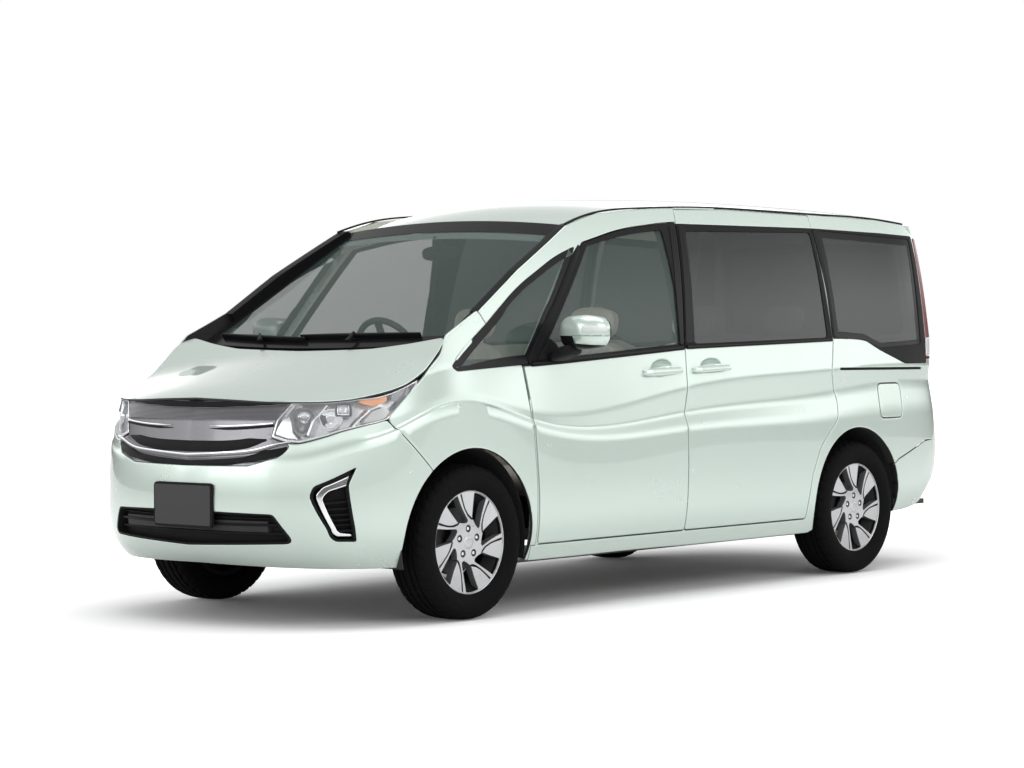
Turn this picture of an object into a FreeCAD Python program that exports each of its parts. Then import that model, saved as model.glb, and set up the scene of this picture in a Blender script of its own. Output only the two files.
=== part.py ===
import FreeCAD, Part
import math
import os

Vec = FreeCAD.Vector
doc = FreeCAD.newDocument("Minivan")

# Driving dimensions, in millimetres and degrees. X points forward, Y to the car's left, Z up.
# The origin is on the ground, midway along the length.
SIZES = {
    "overall_length": 4690,
    "body_width": 1695,
    "overall_height": 1840,
    "front_axle_x": 1480,
    "wheelbase": 2890,
    "tyre_radius": 326,
    "tyre_width": 205,
    "half_track": 732.5,
    "rim_radius": 219,
    "bead_radius": 204,
    "rim_width": 160,
    "rim_wall": 8,
    "hub_radius": 34,
    "running_gap": 0.05,
    "seat_gap": 0.3,
    "lug_circle": 57.2,
    "lug_radius": 10,
    "lug_length": 16,
    "lug_count": 5,
    "spoke_count": 7,
    "sill_height": 222,
    "door_bottom": 296,
    "belt_height": 1130,
    "shut_gap": 6,
    "door_thickness": 50,
    "sheet_thickness": 4,
    "glass_thickness": 5,
    "glass_inset": 4,
    "roof_thickness": 20,
    "roof_drop": 56,
    "moulding_gap": 8,
    "arch_radius": 385,
    "rear_arch_radius": 377,
    "floor_height": 300,
    "floor_thickness": 25,
    "kingpin_y": 650,
    "kingpin_radius": 14,
    "brake_disc_radius": 140,
    "brake_disc_thickness": 24,
    "engine_length": 470,
    "engine_width": 800,
    "engine_height": 440,
    "engine_x": 1560,
    "engine_bottom": 420,
    "tank_length": 700,
    "tank_width": 900,
    "tank_height": 90,
    "tank_x": -880,
    "pipe_radius": 27,
    "muffler_radius": 90,
    "muffler_length": 480,
    "steering_wheel_radius": 187,
    "steering_rim_radius": 15,
    "steering_x": 700,
    "steering_y": -360,
    "steering_z": 1090,
    "steering_tilt": 26,
    "cushion_height": 150,
    "cushion_length": 500,
    "backrest_height": 620,
    "backrest_thickness": 130,
    "front_seat_x": 230,
    "second_seat_x": -640,
    "third_seat_x": -1480,
    "seat_spread": 360,
}

sheet = doc.addObject("Spreadsheet::Sheet", "Sizes")
for row, (alias, value) in enumerate(SIZES.items(), 1):
    sheet.set(f"A{row}", alias)
    sheet.set(f"B{row}", str(value))
    sheet.setAlias(f"B{row}", alias)
doc.recompute()


def size(alias):
    return float(getattr(sheet, alias))


nodes = []


def keep(obj, label):
    obj.Label = label
    nodes.append(obj)
    return obj


def feature(label, shape):
    obj = doc.addObject("Part::Feature", "Shape_" + label)
    obj.Shape = shape
    return keep(obj, label)


def block(name, length, width, height, x, y, z):
    # A box from its size and lowest corner, each an expression of the sheet.
    obj = doc.addObject("Part::Box", name)
    obj.setExpression("Length", length)
    obj.setExpression("Width", width)
    obj.setExpression("Height", height)
    place(obj, x, y, z)
    return obj


def place(obj, x, y, z):
    obj.setExpression(".Placement.Base.x", x)
    obj.setExpression(".Placement.Base.y", y)
    obj.setExpression(".Placement.Base.z", z)


TURNS = {
    "x": FreeCAD.Rotation(Vec(0, 1, 0), 90),
    "y": FreeCAD.Rotation(Vec(1, 0, 0), -90),
    "z": FreeCAD.Rotation(),
}


def rod(name, radius, length, x, y, z, axis):
    # A cylinder that starts at x, y, z and runs along the positive axis.
    obj = doc.addObject("Part::Cylinder", name)
    obj.setExpression("Radius", radius)
    obj.setExpression("Height", length)
    obj.Placement = FreeCAD.Placement(Vec(), TURNS[axis])
    place(obj, x, y, z)
    return obj


def joined(name, pieces):
    obj = doc.addObject("Part::MultiFuse", name)
    obj.Shapes = pieces
    return obj


# Places that several pieces share
half_width = size("body_width") / 2
nose_x = size("overall_length") / 2
tail_x = -nose_x
front_axle = size("front_axle_x")
rear_axle_x = front_axle - size("wheelbase")
axle_z = size("tyre_radius")
gap = size("shut_gap")
seat = size("seat_gap")
door_wall = size("door_thickness")
sheet_wall = size("sheet_thickness")

# Plan of the widest line, from the nose round the corner to the tail: x and share of the half width
PLAN = [
    (nose_x, 0.0),
    (nose_x - 12, 0.295),
    (nose_x - 55, 0.531),
    (nose_x - 130, 0.708),
    (nose_x - 235, 0.844),
    (nose_x - 385, 0.938),
    (front_axle + 260, 0.985),
    (front_axle, 0.997),
    (front_axle - 400, 0.999),
    (0.0, 1.0),
    (-1100.0, 1.0),
    (tail_x + 585, 0.991),
    (tail_x + 285, 0.975),
    (tail_x + 160, 0.936),
    (tail_x + 73, 0.852),
    (tail_x + 27, 0.661),
    (tail_x + 7, 0.354),
    (tail_x, 0.0),
]

# Stations of the plan at which each row of the skin has a height and an inset of its own:
# nose, lamp, corner, front of arch, arch, hinge, pillar, slide, quarter, turn, tail
KEYS = [0, 3, 5, 6, 7, 8, 9, 10, 11, 13, 17]
sill = size("sill_height")
belt = size("belt_height")
ROWS = [
    # sill
    ([30, 24, 21, 16, 8, 2, 0, 0, 63, 143, 128],
     [95, 90, 70, 50, 45, 42, 42, 42, 45, 60, 70], sill),
    # sill edge
    ([78, 78, 80, 86, 90, 91, 91, 91, 128, 203, 193],
     [28, 28, 22, 15, 12, 12, 12, 12, 14, 22, 25], sill),
    # lower door
    ([178, 180, 186, 193, 198, 198, 198, 198, 218, 268, 268],
     [3, 2, 0, -1, -2, -2, -2, -2, 0, 3, 3], sill),
    # widest
    ([308, 323, 348, 378, 388, 378, 378, 378, 388, 408, 408],
     [-3] * 11, sill),
    # ledge, low edge, which runs on over the front arch
    ([433, 478, 563, 650, 681, 578, 543, 553, 578, 578, 568],
     [14, 14, 8, 2, 0, 4, 4, 4, 6, 15, 18], sill),
    # ledge, top edge
    ([458, 503, 580, 664, 694, 604, 607, 671, 718, 708, 698],
     [20, 22, 16, 10, 10, 14, 29, 29, 26, 36, 40], sill),
    # top of the band under the belt
    ([628, 628, 630, 693, 723, 640, 716, 783, 810, 808, 808],
     [45, 38, 20, 12, 14, 16, 17, 17, 22, 34, 42], sill),
    # belt, which is the bonnet's edge at the front
    ([-202, -198, -180, -95, -68, -68, 0, 27, 30, 30, 30],
     [75, 62, 40, 16, 38, 45, 45, 45, 48, 35, 50], belt),
    ([170] * 11,
     [160, 140, 110, 80, 75, 70, 70, 70, 70, 52, 62], belt),
    ([420] * 11,
     [240, 220, 190, 150, 120, 100, 98, 98, 98, 75, 88], belt),
    ([670] * 11,
     [330, 320, 290, 250, 215, 195, 193, 193, 193, 150, 150], belt),
]
# Rows that one smooth strip of the skin spans; between strips there is a crease
STRIPS = [(0, 1, 2, 3, 4), (4, 5), (5, 6), (6, 7), (7, 8, 9, 10)]


def spread(values):
    # Values at the key stations, filled in evenly for the stations between them.
    filled = []
    for station in range(len(PLAN)):
        right = next(k for k, key in enumerate(KEYS) if key >= station)
        if KEYS[right] == station:
            filled.append(values[right])
            continue
        share = (station - KEYS[right - 1]) / (KEYS[right] - KEYS[right - 1])
        filled.append(values[right - 1] + share * (values[right] - values[right - 1]))
    return filled


def plan_normals():
    normals = []
    for station, (x, share) in enumerate(PLAN):
        if station == 0:
            normals.append((1.0, 0.0))
        elif station == len(PLAN) - 1:
            normals.append((-1.0, 0.0))
        else:
            ahead, behind = PLAN[station - 1], PLAN[station + 1]
            along_x = behind[0] - ahead[0]
            along_y = (behind[1] - ahead[1]) * half_width
            run = math.hypot(along_x, along_y)
            normals.append((along_y / run, -along_x / run))
    return normals


NORMALS = plan_normals()


def plan_parameters():
    run = [0.0]
    for (x0, y0), (x1, y1) in zip(PLAN, PLAN[1:]):
        run.append(run[-1] + math.hypot(x1 - x0, (y1 - y0) * half_width))
    return [value / run[-1] for value in run]


PARAMETERS = plan_parameters()


def row_curve(row, depth):
    # One row of the skin at a depth inside it; depth None lays the row on the middle plane.
    lifts, insets, base = ROWS[row]
    points = []
    for (x, share), (nx, ny), lift, inset in zip(PLAN, NORMALS, spread(lifts), spread(insets)):
        inward = inset + (depth or 0)
        y = share * half_width - ny * inward
        points.append(Vec(x - nx * inward, y if depth is not None else -5.0, base + lift))
    curve = Part.BSplineCurve()
    curve.interpolate(Points=points, Parameters=PARAMETERS)
    return curve


def strip_face(rows, depth):
    curves = [row_curve(row, depth) for row in rows]
    poles = [list(column) for column in zip(*(curve.getPoles() for curve in curves))]
    degree = min(3, len(rows) - 1)
    inner = len(rows) - degree - 1
    across = [k / (inner + 1) for k in range(inner + 2)]
    mults = [degree + 1] + [1] * inner + [degree + 1]
    along = curves[0]
    surface = Part.BSplineSurface()
    surface.buildFromPolesMultsKnots(
        poles, along.getMultiplicities(), mults, along.getKnots(), across,
        False, False, along.Degree, degree)
    return surface


def plate(outer, inner, rows=(0, 10)):
    # A closed wall of the body's left half, between two depths below the skin.
    chosen = [strip for strip in STRIPS if strip[0] >= rows[0] and strip[-1] <= rows[1]]
    faces = []
    for strip in chosen:
        near = strip_face(strip, outer)
        far = strip_face(strip, inner)
        faces += [near.toShape(), far.toShape()]
        for end in (0.0, 1.0):
            faces.append(Part.makeRuledSurface(near.uIso(end).toShape(), far.uIso(end).toShape()))
        if strip is chosen[0]:
            faces.append(Part.makeRuledSurface(near.vIso(0.0).toShape(), far.vIso(0.0).toShape()))
        if strip is chosen[-1]:
            faces.append(Part.makeRuledSurface(near.vIso(1.0).toShape(), far.vIso(1.0).toShape()))
    shell = Part.Shell(faces)
    shell.sewShape()
    solid = Part.Solid(shell)
    if solid.Volume < 0:
        solid.reverse()
    return solid


def prism(points, plane, low, high):
    # A straight prism over an outline drawn in plane xz, yz or xy.
    def lift(a, b, at):
        return {"xz": Vec(a, at, b), "yz": Vec(at, a, b), "xy": Vec(a, b, at)}[plane]
    corners = [lift(a, b, low) for a, b in points]
    face = Part.Face(Part.makePolygon(corners + corners[:1]))
    return face.extrude(lift(0, 0, high) - lift(0, 0, low))


def grown(points, plane, low, high, amount):
    # The same prism with its outline moved out by an amount, or in where it is negative.
    def lift(a, b, at):
        return {"xz": Vec(a, at, b), "yz": Vec(at, a, b), "xy": Vec(a, b, at)}[plane]
    corners = [lift(a, b, low) for a, b in points]
    face = Part.Face(Part.makePolygon(corners + corners[:1]))
    wire = face.makeOffset2D(amount, 2).OuterWire
    return Part.Face(wire).extrude(lift(0, 0, high) - lift(0, 0, low))


def disc_y(radius, x, z, low, high):
    return Part.makeCylinder(radius, high - low, Vec(x, low, z), Vec(0, 1, 0))


def mirrored(shape):
    return shape.mirror(Vec(), Vec(0, 1, 0))


def whole(shape):
    # The left half of a piece with its mirror image, as one solid.
    return shape.fuse(mirrored(shape)).removeSplitter()


def crowned(points, reach):
    # A surface whose middle line goes through x, z of the points and which falls by their drop at y = reach.
    line = Part.BSplineCurve()
    line.interpolate(Points=[Vec(x, drop, z) for x, z, drop in points])
    poles = []
    for pole in line.getPoles():
        side, top = pole.z - pole.y, pole.z + pole.y
        poles.append([Vec(pole.x, -reach, side), Vec(pole.x, 0, top), Vec(pole.x, reach, side)])
    surface = Part.BSplineSurface()
    surface.buildFromPolesMultsKnots(
        poles, line.getMultiplicities(), [3, 3], line.getKnots(), [0.0, 1.0], False, False, line.Degree, 2)
    return surface.toShape()


def slab(face, thickness):
    return face.extrude(Vec(0, 0, -thickness))


# Outlines of the side, x and z, from the front
FRONT_DOOR = [
    (1054, size("door_bottom")), (1064, 560), (1086, 860), (1108, 1060), (1060, 1068), (612, 1592),
    (560, 1612), (296, 1668), (9, 1697), (-108, 1702), (-66, 1400), (-28, 1130), (2, 803),
    (16, size("door_bottom")),
]
FRONT_WINDOW = [(1004, 1079), (116, 1135), (-30, 1143), (9, 1670), (296, 1640), (575, 1585)]
SLIDING_DOOR = [
    (16 - gap, size("door_bottom")), (2 - gap, 803), (-28 - gap, 1130), (-66 - gap, 1400),
    (-118 - gap, 1764), (-500, 1774), (-1216, 1766), (-1238, 1157), (-1183, 1004), (-1231, 852),
    (-1218, 770), (-1060, 638), (-988, 505), (-959, 371), (-952, size("door_bottom")),
]
SLIDING_WINDOW = [(-110, 1142), (-175, 1664), (-1195, 1681), (-1195, 1165)]
QUARTER_WINDOW = [(1545, 1072), (1080, 1072), (672, 1552), (803, 1510), (1060, 1373), (1350, 1217)]
REAR_WINDOW = [(-1262, 1165), (-1262, 1695), (-2085, 1668), (-2052, 1128), (-1664, 1113), (-1523, 1153)]
SEAM = [(1700, 1130), (1587, 1183), (1373, 1276), (1060, 1457), (710, 1666), (480, 1728), (136, 1760),
        (-145, 1773), (-500, 1779), (-1238, 1771), (-1813, 1762), (-2062, 1742), (-2126, 1690)]

side_low, side_high = 300.0, half_width + 60

wall = plate(0, door_wall)
inner_wall = plate(door_wall + gap + 1, door_wall + 50)
skin_sheet = plate(0, sheet_wall)
glass_sheet = plate(size("glass_inset"), size("glass_inset") + size("glass_thickness"))

front_opening = grown(FRONT_DOOR, "xz", side_low, side_high, gap)
slide_opening = grown(SLIDING_DOOR, "xz", side_low, side_high, gap - 0.5)
front_glass_cut = prism(FRONT_WINDOW, "xz", side_low, side_high)
slide_glass_cut = prism(SLIDING_WINDOW, "xz", side_low, side_high)
quarter_glass_cut = prism(QUARTER_WINDOW, "xz", side_low, side_high)
rear_glass_cut = prism(REAR_WINDOW, "xz", side_low, side_high)
arch_front = disc_y(size("arch_radius"), front_axle + 10, axle_z + 9, side_low, side_high)
arch_rear = disc_y(size("rear_arch_radius"), rear_axle_x + 10, axle_z + 19, side_low, side_high)


def pane(outline):
    return glass_sheet.common(grown(outline, "xz", side_low, side_high, -seat))


cut_floor = 940.0


def box(x0, x1, y0, y1, z0, z1):
    return Part.makeBox(x1 - x0, y1 - y0, z1 - z0, Vec(x0, y0, z0))


def both(shape):
    # A piece of the left side and its mirror image, as solids that don't touch.
    return Part.makeCompound(shape.Solids + mirrored(shape).Solids)


# Roof, bonnet and windscreen surfaces
ROOF_LINE = [(655, 1711), (445, 1774), (0, 1822), (-700, size("overall_height")), (-1400, 1835),
             (-2070, 1802), (-2290, 1772)]
roof_reach, roof_half = 900, 655
roof_fall = size("roof_drop") * (roof_reach / roof_half) ** 2
roof_face = crowned([(x, z, roof_fall) for x, z in ROOF_LINE], roof_reach)
BONNET_LINE = [(1540, 1152, -10), (1700, 1105, 45), (1850, 1065, 88), (2050, 1005, 95), (2200, 955, 100),
               (2300, 915, 100)]
bonnet_face = crowned(BONNET_LINE, 800)
roof_thick = size("roof_thickness")
roof_front, roof_rear = 660.0, -2066.0
ROOF_EDGE = [(roof_front, 690), (480, 680), (136, 668), (-145, 655), (roof_rear, 650)]
roof_outline = [(x, -y) for x, y in ROOF_EDGE] + ROOF_EDGE[::-1]
roof = slab(roof_face, roof_thick).common(prism(roof_outline, "xy", 1500, 1900))
moulding = size("moulding_gap")
roof_space = slab(roof_face.translated(Vec(0, 0, 100)), 100 + roof_thick + seat)
roof_space = roof_space.common(grown(roof_outline, "xy", 1500, 2000, moulding))

core = plate(0, None)
BONNET_EDGE = [(2400, 0), (2400, 800), (1840, 803), (1744, 800), (1640, 782), (1590, 760), (1545, 722),
               (1600, 600), (1640, 400), (1662, 0)]
bonnet_half = slab(bonnet_face, roof_thick).common(prism(BONNET_EDGE, "xy", 800, 1300))
bonnet_half = bonnet_half.common(plate(2, None))

pillar_depth = door_wall + seat
WINDSCREEN = [  # base, middle and top: edge x, z and half width, then middle x, z
    (1523, 1158, 745, 1620, 1136),
    (1110, 1388, 745, 1172, 1412),
    (645, 1669, 700, 668, 1708),
]


def windscreen_face():
    poles = []
    for edge_x, edge_z, reach, middle_x, middle_z in WINDSCREEN:
        pull_x, pull_z = 2 * middle_x - edge_x, 2 * middle_z - edge_z
        poles.append([Vec(edge_x, -reach, edge_z), Vec(pull_x, 0, pull_z), Vec(edge_x, reach, edge_z)])
    surface = Part.BSplineSurface()
    surface.buildFromPolesMultsKnots(poles, [3, 3], [3, 3], [0.0, 1.0], [0.0, 1.0], False, False, 2, 2)
    return surface.toShape()


glass_wall = size("glass_thickness")
screen_face = windscreen_face()
inner_core = plate(pillar_depth, None)
left_side = box(-2600, 2600, 0, 1000, -100, 2000)
windscreen = whole(slab(screen_face, glass_wall).common(inner_core).common(left_side))
cowl = slab(screen_face.translated(Vec(-15, 0, -glass_wall - seat)), 110).common(inner_core)
cowl = cowl.common(box(1440, 1700, 0, 680, 1000, 1176))
cowl = cowl.fuse(box(1350 + seat, 1480, 0, 430, 1000, 1028)).fuse(box(1440, 1480, 0, 430, 1000, 1140))
bonnet_room = slab(bonnet_face.translated(Vec(0, 0, 5)), roof_thick + 10)
cowl = cowl.cut(bonnet_room.common(grown(BONNET_EDGE, "xy", 800, 1300, gap)))

# Bonnet hinge: a lug under the bonnet turns on a pin held by an arm of the cowl
bonnet_pin_x, bonnet_pin_z, bonnet_pin = 1695.0, 1070.0, 5.0
arm_y = 320.0
cowl = cowl.fuse(box(1560, bonnet_pin_x + 8, arm_y, arm_y + 20, 1030, 1045))
cowl = cowl.fuse(box(bonnet_pin_x - 8, bonnet_pin_x + 8, arm_y, arm_y + 20, 1030, bonnet_pin_z + 6))
cowl = whole(cowl.fuse(disc_y(bonnet_pin, bonnet_pin_x, bonnet_pin_z, arm_y - 34, arm_y + 20)))
arm_room = box(bonnet_pin_x - 15, bonnet_pin_x + 15, arm_y - 6, arm_y + 26, 1000, bonnet_pin_z + 11.5)
bonnet_half = bonnet_half.cut(arm_room)
bonnet_lug = box(bonnet_pin_x - 12, bonnet_pin_x + 12, arm_y - 34, arm_y - 6, bonnet_pin_z - 10,
                 bonnet_pin_z + 20)
bonnet_half = bonnet_half.fuse(bonnet_lug.cut(slab(bonnet_face.translated(Vec(0, 0, 200)), 205)))
bonnet_half = bonnet_half.cut(
    disc_y(bonnet_pin + size("running_gap"), bonnet_pin_x, bonnet_pin_z, arm_y - 50, arm_y))

# Front doors
hinge_x, hinge_y = 1030.0, 822.0
hinge_pin = 7.0
arm_half = 20.0
hinge_heights = (430.0, 740.0)
front_door = wall.common(prism(FRONT_DOOR, "xz", side_low, side_high)).cut(front_glass_cut)
for z in hinge_heights:
    front_door = front_door.cut(
        box(hinge_x - 20, hinge_x + 130, 700, hinge_y + 9.5, z - arm_half - 5, z + arm_half + 5))
    front_door = front_door.cut(
        Part.makeCylinder(hinge_pin + size("running_gap"), 80, Vec(hinge_x, hinge_y, z - 40)))
front_glass = pane(FRONT_WINDOW)
sliding_door = wall.common(prism(SLIDING_DOOR, "xz", side_low, side_high)).cut(slide_glass_cut)
sliding_door = sliding_door.cut(arch_rear).cut(roof_space)

# Handles: a bar on two feet, standing off the door
def handle(x_low, x_high, z):
    bar = box(x_low, x_high, 831, 843, z - 13, z + 13)
    bar = bar.makeFillet(5, bar.Edges)
    for x in (x_low, x_high - 36):
        bar = bar.fuse(box(x + 5, x + 31, 795, 838, z - 9, z + 9))
    return bar


front_door = front_door.fuse(handle(36, 302, 1030))
sliding_door = sliding_door.fuse(handle(-344, -62, 1040))

# Fender: a thin sheet in front of the door, up to the foot of the roof pillar
BONNET_LINE_SIDE = [(1545, 1165), (1590, 1140), (1640, 1100), (1744, 1036), (1836, 988)]
LAMP_REAR = [(1836, 988), (1984, 850)]
FENDER = [(1099, 226), (1099, 290), (1040, 290), (1040, 1060), (1558, 1060), (1560, 1092), (1345, 1222),
          (1370, 1275), (1545, 1190)] + BONNET_LINE_SIDE + LAMP_REAR + [(1742, 652), (1490, 335)]
fender = skin_sheet.common(prism(FENDER, "xz", side_low, side_high))
bonnet_well = grown(BONNET_EDGE, "xy", cut_floor, 1300, gap)
for tool in (front_opening, arch_front, bonnet_well, quarter_glass_cut):
    fender = fender.cut(tool)

# Side frame: sill, hinge pillar, middle pillar, roof rail, rear quarter and the frame of the tailgate
tail_half = 655.0
LAMP_SIDE = [(-2400, 1050), (-2113, 1050), (-2122, 1671), (-2400, 1671)]
FRAME = SEAM[2:-1] + [(-2062, 1900), (-2400, 1900), (-2400, 640), (-2030, 640), (-1770, 556),
                    (-1400, 345), (-1000, 222), (1094, 222), (1100, 1061), (1564, 1064), (1570, 1090), SEAM[1]]
TAILGATE = [(0, 600), (tail_half, 600), (tail_half, 1150), (590, 1700), (590, 1900), (0, 1900)]
above_roof = slab(roof_face.translated(Vec(0, 0, 200)), 200)
side_frame = wall.common(prism(FRAME, "xz", side_low, side_high)).cut(above_roof)
tail_opening = grown(TAILGATE + [(-600, 1900), (-600, 600)], "yz", -2500, -1950, gap)
lamp_box = prism(LAMP_SIDE, "xz", side_low, side_high)
fender_cut = plate(-5, sheet_wall + seat).common(prism(FENDER, "xz", side_low, side_high))
for tool in (front_opening, slide_opening, quarter_glass_cut, rear_glass_cut, arch_rear, arch_front, lamp_box,
             tail_opening, roof_space, fender_cut, bonnet_well):
    side_frame = side_frame.cut(tool)
tail_lamp = plate(0, door_wall - 5).common(grown(LAMP_SIDE, "xz", side_low, side_high, -seat))
tail_lamp = tail_lamp.cut(tail_opening)

# Groove behind the sliding door, where its upper roller runs
SLIDE_GROOVE = [(-1200, 976), (-1200, 992), (-1813, 1034), (-1813, 1018)]
side_frame = side_frame.cut(plate(-5, 14).common(prism(SLIDE_GROOVE, "xz", side_low, side_high)))

# Room ahead of the front door for its outer edge, which swings forwards about the hinge
swing_room = Part.makeCone(40, 86, 774, Vec(hinge_x, hinge_y, 290))
side_frame = side_frame.cut(swing_room.common(box(hinge_x, hinge_x + 95, 800, half_width - sheet_wall, 290, 1060)))

PILLAR = [(30, 240), (10, 803), (-20, 1130), (-100, 1745), (-200, 1745), (-120, 1130), (-95, 803), (-80, 240)]
pillar = inner_wall.common(prism(PILLAR, "xz", side_low, side_high))
RAIL = [(700, 1600), (640, 1660), (300, 1712), (-100, 1740), (-1240, 1742), (-2050, 1735),
        (-2050, 1690), (-1240, 1700), (-100, 1695), (300, 1650), (600, 1600)]
rail = inner_wall.common(prism(RAIL, "xz", side_low, side_high))
rail_bridge = plate(door_wall - 1, door_wall + gap + 2).common(prism(RAIL, "xz", side_low, side_high))
rail = rail.fuse(rail_bridge.cut(slide_opening)).cut(front_opening).cut(roof_space)
roller = box(-240, -180, 755, 785, 280, size("door_bottom") - seat)
sill_beam = box(-950, 1096, 690, 792, 226, 288)
hinge_pillar = box(985, 1094, 640, 716, 226, 1058)
jack_pad = box(560, 640, 700, 780, 216, 230)
hinge_arms = []
for z in hinge_heights:
    arm = box(hinge_x - 9, hinge_x + 9, 711, hinge_y, z - arm_half, z + arm_half)
    arm = arm.fuse(Part.makeCylinder(9, 2 * arm_half, Vec(hinge_x, hinge_y, z - arm_half)))
    hinge_arms.append(arm.fuse(Part.makeCylinder(hinge_pin, 78, Vec(hinge_x, hinge_y, z - 39))))
side_frame = side_frame.multiFuse([pillar, rail, roller, sill_beam, hinge_pillar, jack_pad] + hinge_arms)

# Fuel flap, only on the left
FLAP = [(-1610, 765), (-1610, 932), (-1808, 932), (-1808, 765)]
flap = plate(0, sheet_wall).common(prism(FLAP, "xz", side_low, side_high))
flap_pocket = plate(-2, 40).common(grown(FLAP, "xz", side_low, side_high, gap))
flap_pin_x, flap_pin_y, flap_pin = -1613.0, 834.0, 1.5
flap = flap.fuse(Part.makeCylinder(flap_pin, 40, Vec(flap_pin_x, flap_pin_y, 745)))
side_frame_left = side_frame.cut(flap_pocket)
side_frame_left = side_frame_left.cut(
    Part.makeCylinder(flap_pin + size("running_gap"), 24, Vec(flap_pin_x, flap_pin_y, 740)))

# Panes
quarter_glass = pane(QUARTER_WINDOW)
slide_glass = pane(SLIDING_WINDOW)
rear_glass = pane(REAR_WINDOW).cut(tail_opening)

# Tailgate, with the rear end of the roof as its top
tail_wall = wall.common(prism(TAILGATE, "yz", -2500, -2075))
tailgate_top = slab(roof_face, roof_thick).common(prism([(-2075, 0), (-2075, 590), (-2400, 590), (-2400, 0)],
                                                        "xy", 1500, 1900))
tailgate_top = tailgate_top.common(core)
TAIL_WINDOW = [(0, 1165), (590, 1180), (560, 1640), (0, 1665)]
tail_glass_cut = prism(TAIL_WINDOW, "yz", -2500, -2000)
right_of_tail = box(-2600, -2000, -50, 0, 0, 2000)
tailgate = whole(tail_wall.cut(above_roof).cut(tail_glass_cut).fuse(tailgate_top).cut(right_of_tail))
# Tailgate hinge: ears of the roof stand in notches of the tailgate and carry a pin
gate_pin_x, gate_pin_z, gate_pin, gate_ear_y = -2095.0, 1787.0, 3.0, 212.0
for side in (1, -1):
    ear_low, ear_high = sorted((side * gate_ear_y, side * (gate_ear_y + 14)))
    ear = box(gate_pin_x - 9, roof_rear + 6, ear_low, ear_high, gate_pin_z - 9, gate_pin_z + 4)
    roof = roof.fuse(ear).fuse(disc_y(gate_pin, gate_pin_x, gate_pin_z, ear_low - 15, ear_high + 15))
    tailgate = tailgate.cut(box(gate_pin_x - 30, -2060, ear_low - 6, ear_high + 6, 1700, 1850))
    tailgate = tailgate.cut(
        disc_y(gate_pin + size("running_gap"), gate_pin_x, gate_pin_z, ear_low - 18, ear_high + 18))
tail_pane = glass_sheet.common(grown(TAIL_WINDOW + [(-560, 1640), (-590, 1180)], "yz", -2500, -2000, -seat))
tailgate_glass = whole(tail_pane.cut(box(-2600, -2000, -50, 0, 0, 2000)))

# Bumpers, lamps and grille
LAMP_FRONT = [(440, 785), (520, 752), (620, 762), (720, 790), (900, 850), (900, 1100), (440, 1100)]
lamp_region = prism(LAMP_FRONT, "yz", 1700, 2500).common(
    prism([(1842, 990), (1990, 848), (1990, 600), (2500, 600), (2500, 1100), (1842, 1100)], "xz", 300, 900))
below_bonnet = slab(bonnet_face.translated(Vec(0, 0, -roof_thick - 5)), 700)
headlamp = plate(0, 90).common(lamp_region).common(below_bonnet)
GRILLE = [(0, 660), (340, 665), (470, 700), (520, 748), (436, 785), (436, 1000), (0, 1000)]
grille_wall = plate(sheet_wall + seat, 24).common(grown(GRILLE, "yz", 1900, 2500, 8)).common(below_bonnet)
grille_wall = grille_wall.cut(grown(LAMP_FRONT, "yz", 1700, 2500, 3))
BUMPER = [(1490, 329), (1742, 646), (1990, 844), (2100, 846), (2500, 846), (2500, 200), (1490, 200)]
bumper = skin_sheet.common(prism(BUMPER, "xz", -100, side_high)).cut(arch_front)
lamp_cut = grown(LAMP_FRONT, "yz", 1700, 2500, 3)
whole_grille = GRILLE + [(-y, z) for y, z in GRILLE[-2:0:-1]]
grille_cut = grown(whole_grille, "yz", 1900, 2500, 2)
intake_cut = prism([(0, 330), (540, 352), (460, 470), (0, 478)], "yz", 1900, 2500)
FOG_RECESS = [(715, 655), (605, 575), (640, 400), (672, 368), (730, 366), (728, 600)]
fog_cut = prism(FOG_RECESS, "yz", 1900, 2500)
for tool in (lamp_cut, grille_cut, intake_cut, fog_cut):
    bumper = bumper.cut(tool)
front_bumper = whole(bumper.cut(box(1000, 2600, -50, 0, 0, 2000)))
intake = plate(sheet_wall + seat, 20)
intake = intake.common(prism([(0, 310), (565, 335), (480, 490), (0, 498)], "yz", 1900, 2500))
fog_panel = plate(sheet_wall + seat, 34).common(grown(FOG_RECESS, "yz", 1900, 2500, 8))
fog_panel = fog_panel.cut(plate(0, 28).common(grown(FOG_RECESS, "yz", 1900, 2500, -8)))
slats = [box(1900, 2500, 560, 760, z, z + 9) for z in range(400, 640, 30)]
slats = plate(12, 30).common(grown(FOG_RECESS, "yz", 1900, 2500, -6)).common(Part.makeCompound(slats))
fog_panel = fog_panel.fuse(slats)
# Ribs of the grille and the intake: slots cut into their front
slots = [box(1900, 2500, -10, 520, z, z + 12) for z in list(range(345, 470, 30)) + list(range(690, 930, 24))]
rib_slots = plate(0, 12).common(Part.makeCompound(slots))
grille_wall = grille_wall.cut(rib_slots)
intake = intake.cut(rib_slots)
grille_half = grille_wall.fuse(intake).cut(box(1000, 2600, -50, 0, 0, 2000))
grille = whole(grille_half)
REAR_BUMPER = [(-1400, 338), (-1400, 200), (-2500, 200), (-2500, 633), (-2030, 633), (-1770, 549)]
rear_sheet = skin_sheet.common(prism(REAR_BUMPER, "xz", -100, side_high)).cut(arch_rear)
rear_sheet = rear_sheet.cut(box(-2600, -1000, -50, 0, 0, 2000))
rear_bumper = whole(rear_sheet.cut(box(-2600, -2000, -1, 665, 590, 700)))

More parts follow.
